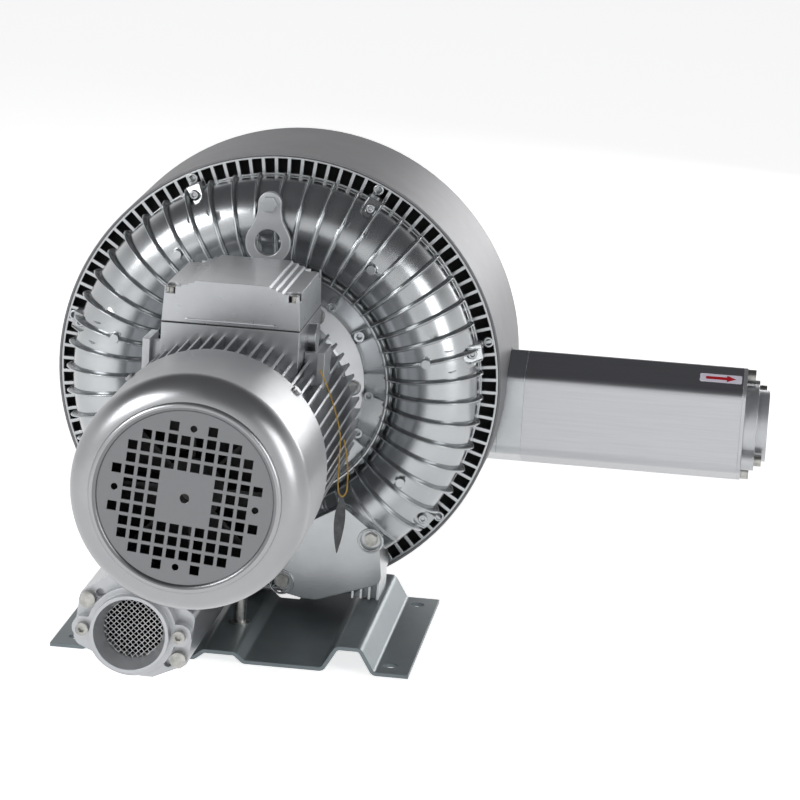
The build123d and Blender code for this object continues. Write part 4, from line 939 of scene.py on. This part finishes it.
lid = copyNode("terminal_box_lid", "pocketedLid")
bm = bmesh.new()
for x, y in lidPocket["places"]:
    addTurned(bm, ((lidPocket["radius"], lidPocket["floor"]),
                   (lidPocket["radius"], lidPocket["top"])), (x, rimY + y), sides=32, upright=True)
cutter = finishPart("pocketCutter", bm, "motorSilver")
pocket = lid.modifiers.new("pockets", "BOOLEAN")
pocket.object = cutter
pocket.operation = "DIFFERENCE"
pocket.solver = "EXACT"
lidMesh = bakedMesh(lid)
bpy.data.objects.remove(lid)
bpy.data.objects.remove(cutter)
lidMesh.materials.clear()
lidMesh.materials.append(finishes["motorSilver"])
lid = linkMesh("pocketedLid", lidMesh)
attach(lid, "housing")
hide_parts("terminal_box_lid")
bm = bmesh.new()
for x, y in lidPocket["places"]:
    addTurned(bm, ((lidScrew["shank"], lidScrew["shankLow"]), (lidScrew["shank"], lidPocket["floor"]),
                   (lidScrew["headRadius"], lidPocket["floor"]),
                   (lidScrew["headRadius"], lidScrew["headTop"] - lidScrew["edge"]),
                   (lidScrew["headRadius"] - lidScrew["edge"], lidScrew["headTop"]),
                   (lidScrew["socket"], lidScrew["headTop"]),
                   (lidScrew["socketFloor"], lidScrew["headTop"] - lidScrew["socketDepth"])),
              (x, rimY + y), sides=24, upright=True)
bmesh.ops.recalc_face_normals(bm, faces=bm.faces)
lidScrews = meshFromBm("lidScrews", bm, "zinc")
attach(lidScrews, "housing")
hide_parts("terminal_box_screws")
bm = bmesh.new()
x0, x1, back, top = lidLedge["left"], lidLedge["right"], lidLedge["back"], lidLedge["high"] - axisZ
shoulder = lidLedge["front"] + lidLedge["lip"]
addHex(bm, oblong(x0, x1, lidLedge["front"], back, lidLedge["low"]),
       [(x0 + lidLedge["slope"], shoulder, top), (x1 - lidLedge["slope"], shoulder, top), (x1, back, top),
        (x0, back, top)])
singlePiece("lidLedge", bm, "motorSilver", bevel=0.0003)
print("terminal box lid")

studio = {"floorHalf": 18.0, "floorHex": "F2F2F2", "worldSoft": 0.62, "floorLift": 0.73,
          "ceilingHex": "565659",
          "horizon": 0.28, "ceilingFrom": 0.62}
softBoxes = {
    "keySoftBox": {"place": (-2.0, -2.3, 2.0), "target": (0, 0, 0.25), "size": (1.6, 1.2), "power": 62},
    "fillSoftBox": {"place": (2.4, -1.6, 1.2), "target": (0.1, 0, 0.25), "size": (1.2, 1.6), "power": 26},
    "backSoftBox": {"place": (1.4, 3.0, 0.9), "target": (0, 0, 0.3), "size": (1.8, 1.0), "power": 22},
}
bm = bmesh.new()
half = studio["floorHalf"]
corners = ((-half, -half, 0), (half, -half, 0), (half, half, 0), (-half, half, 0))
bm.faces.new([bm.verts.new(p) for p in corners])
floorMesh = bpy.data.meshes.new("studioFloor")
bm.to_mesh(floorMesh)
bm.free()
floor = linkMesh("studioFloor", floorMesh)
floorMaterial, floorTree, floorShader = newMaterial("paleStudioPaper", studio["floorHex"], 0.0, 0.85)[:3]
floorMesh.materials.append(floorMaterial)
world = bpy.data.worlds.new("studioWorld")
bpy.context.scene.world = world
world.use_nodes = True
worldTree = world.node_tree
background = worldTree.nodes["Background"]


def seenDirectly(tree):
    # one where a ray shows the background itself: to the camera, in a reflection or through glass
    path = addNode(tree, "ShaderNodeLightPath")
    mirror = addNode(tree, "ShaderNodeMath", {"operation": "MAXIMUM"}, None,
                     {0: (path, "Is Glossy Ray"), 1: (path, "Is Transmission Ray")})
    return addNode(tree, "ShaderNodeMath", {"operation": "MAXIMUM"}, None,
                   {0: (path, "Is Camera Ray"), 1: (mirror, "Value")})


strength = addNode(worldTree, "ShaderNodeMapRange", None, {"To Min": studio["worldSoft"], "To Max": 1.0},
                   {"Value": (seenDirectly(worldTree), "Value")})
worldTree.links.new(strength.outputs["Result"], background.inputs["Strength"])
# the studio is white to the sides and has a grey ceiling, which gives bare metal its darker bands
heading = addNode(worldTree, "ShaderNodeTexCoord")
height = addNode(worldTree, "ShaderNodeSeparateXYZ", links={"Vector": (heading, "Generated")})
ceiling = addNode(worldTree, "ShaderNodeValToRGB", links={"Fac": (height, "Z")})
ceiling.color_ramp.elements[0].position = studio["horizon"]
ceiling.color_ramp.elements[0].color = hexToLinear("FFFFFF")
ceiling.color_ramp.elements[1].position = studio["ceilingFrom"]
ceiling.color_ramp.elements[1].color = hexToLinear(studio["ceilingHex"])
worldTree.links.new(ceiling.outputs["Color"], background.inputs["Color"])
lift = addNode(floorTree, "ShaderNodeMath", multiply, {1: studio["floorLift"]},
               {0: (seenDirectly(floorTree), "Value")})
floorTree.links.new(lift.outputs["Value"], floorShader.inputs["Emission Strength"])
floorShader.inputs["Emission Color"].default_value = (1, 1, 1, 1)


for lampName, box in softBoxes.items():
    lampData = bpy.data.lights.new(lampName, "AREA")
    lampData.shape = "RECTANGLE"
    lampData.size, lampData.size_y = box["size"]
    lampData.energy = box["power"]
    lamp = bpy.data.objects.new(lampName, lampData)
    lamp.location = box["place"]
    aim = Vector(box["target"]) - Vector(box["place"])
    lamp.rotation_euler = aim.to_track_quat("-Z", "Y").to_euler()
    bpy.context.scene.collection.objects.link(lamp)
bpy.context.scene.view_settings.view_transform = "Standard"
print("stage and light set")
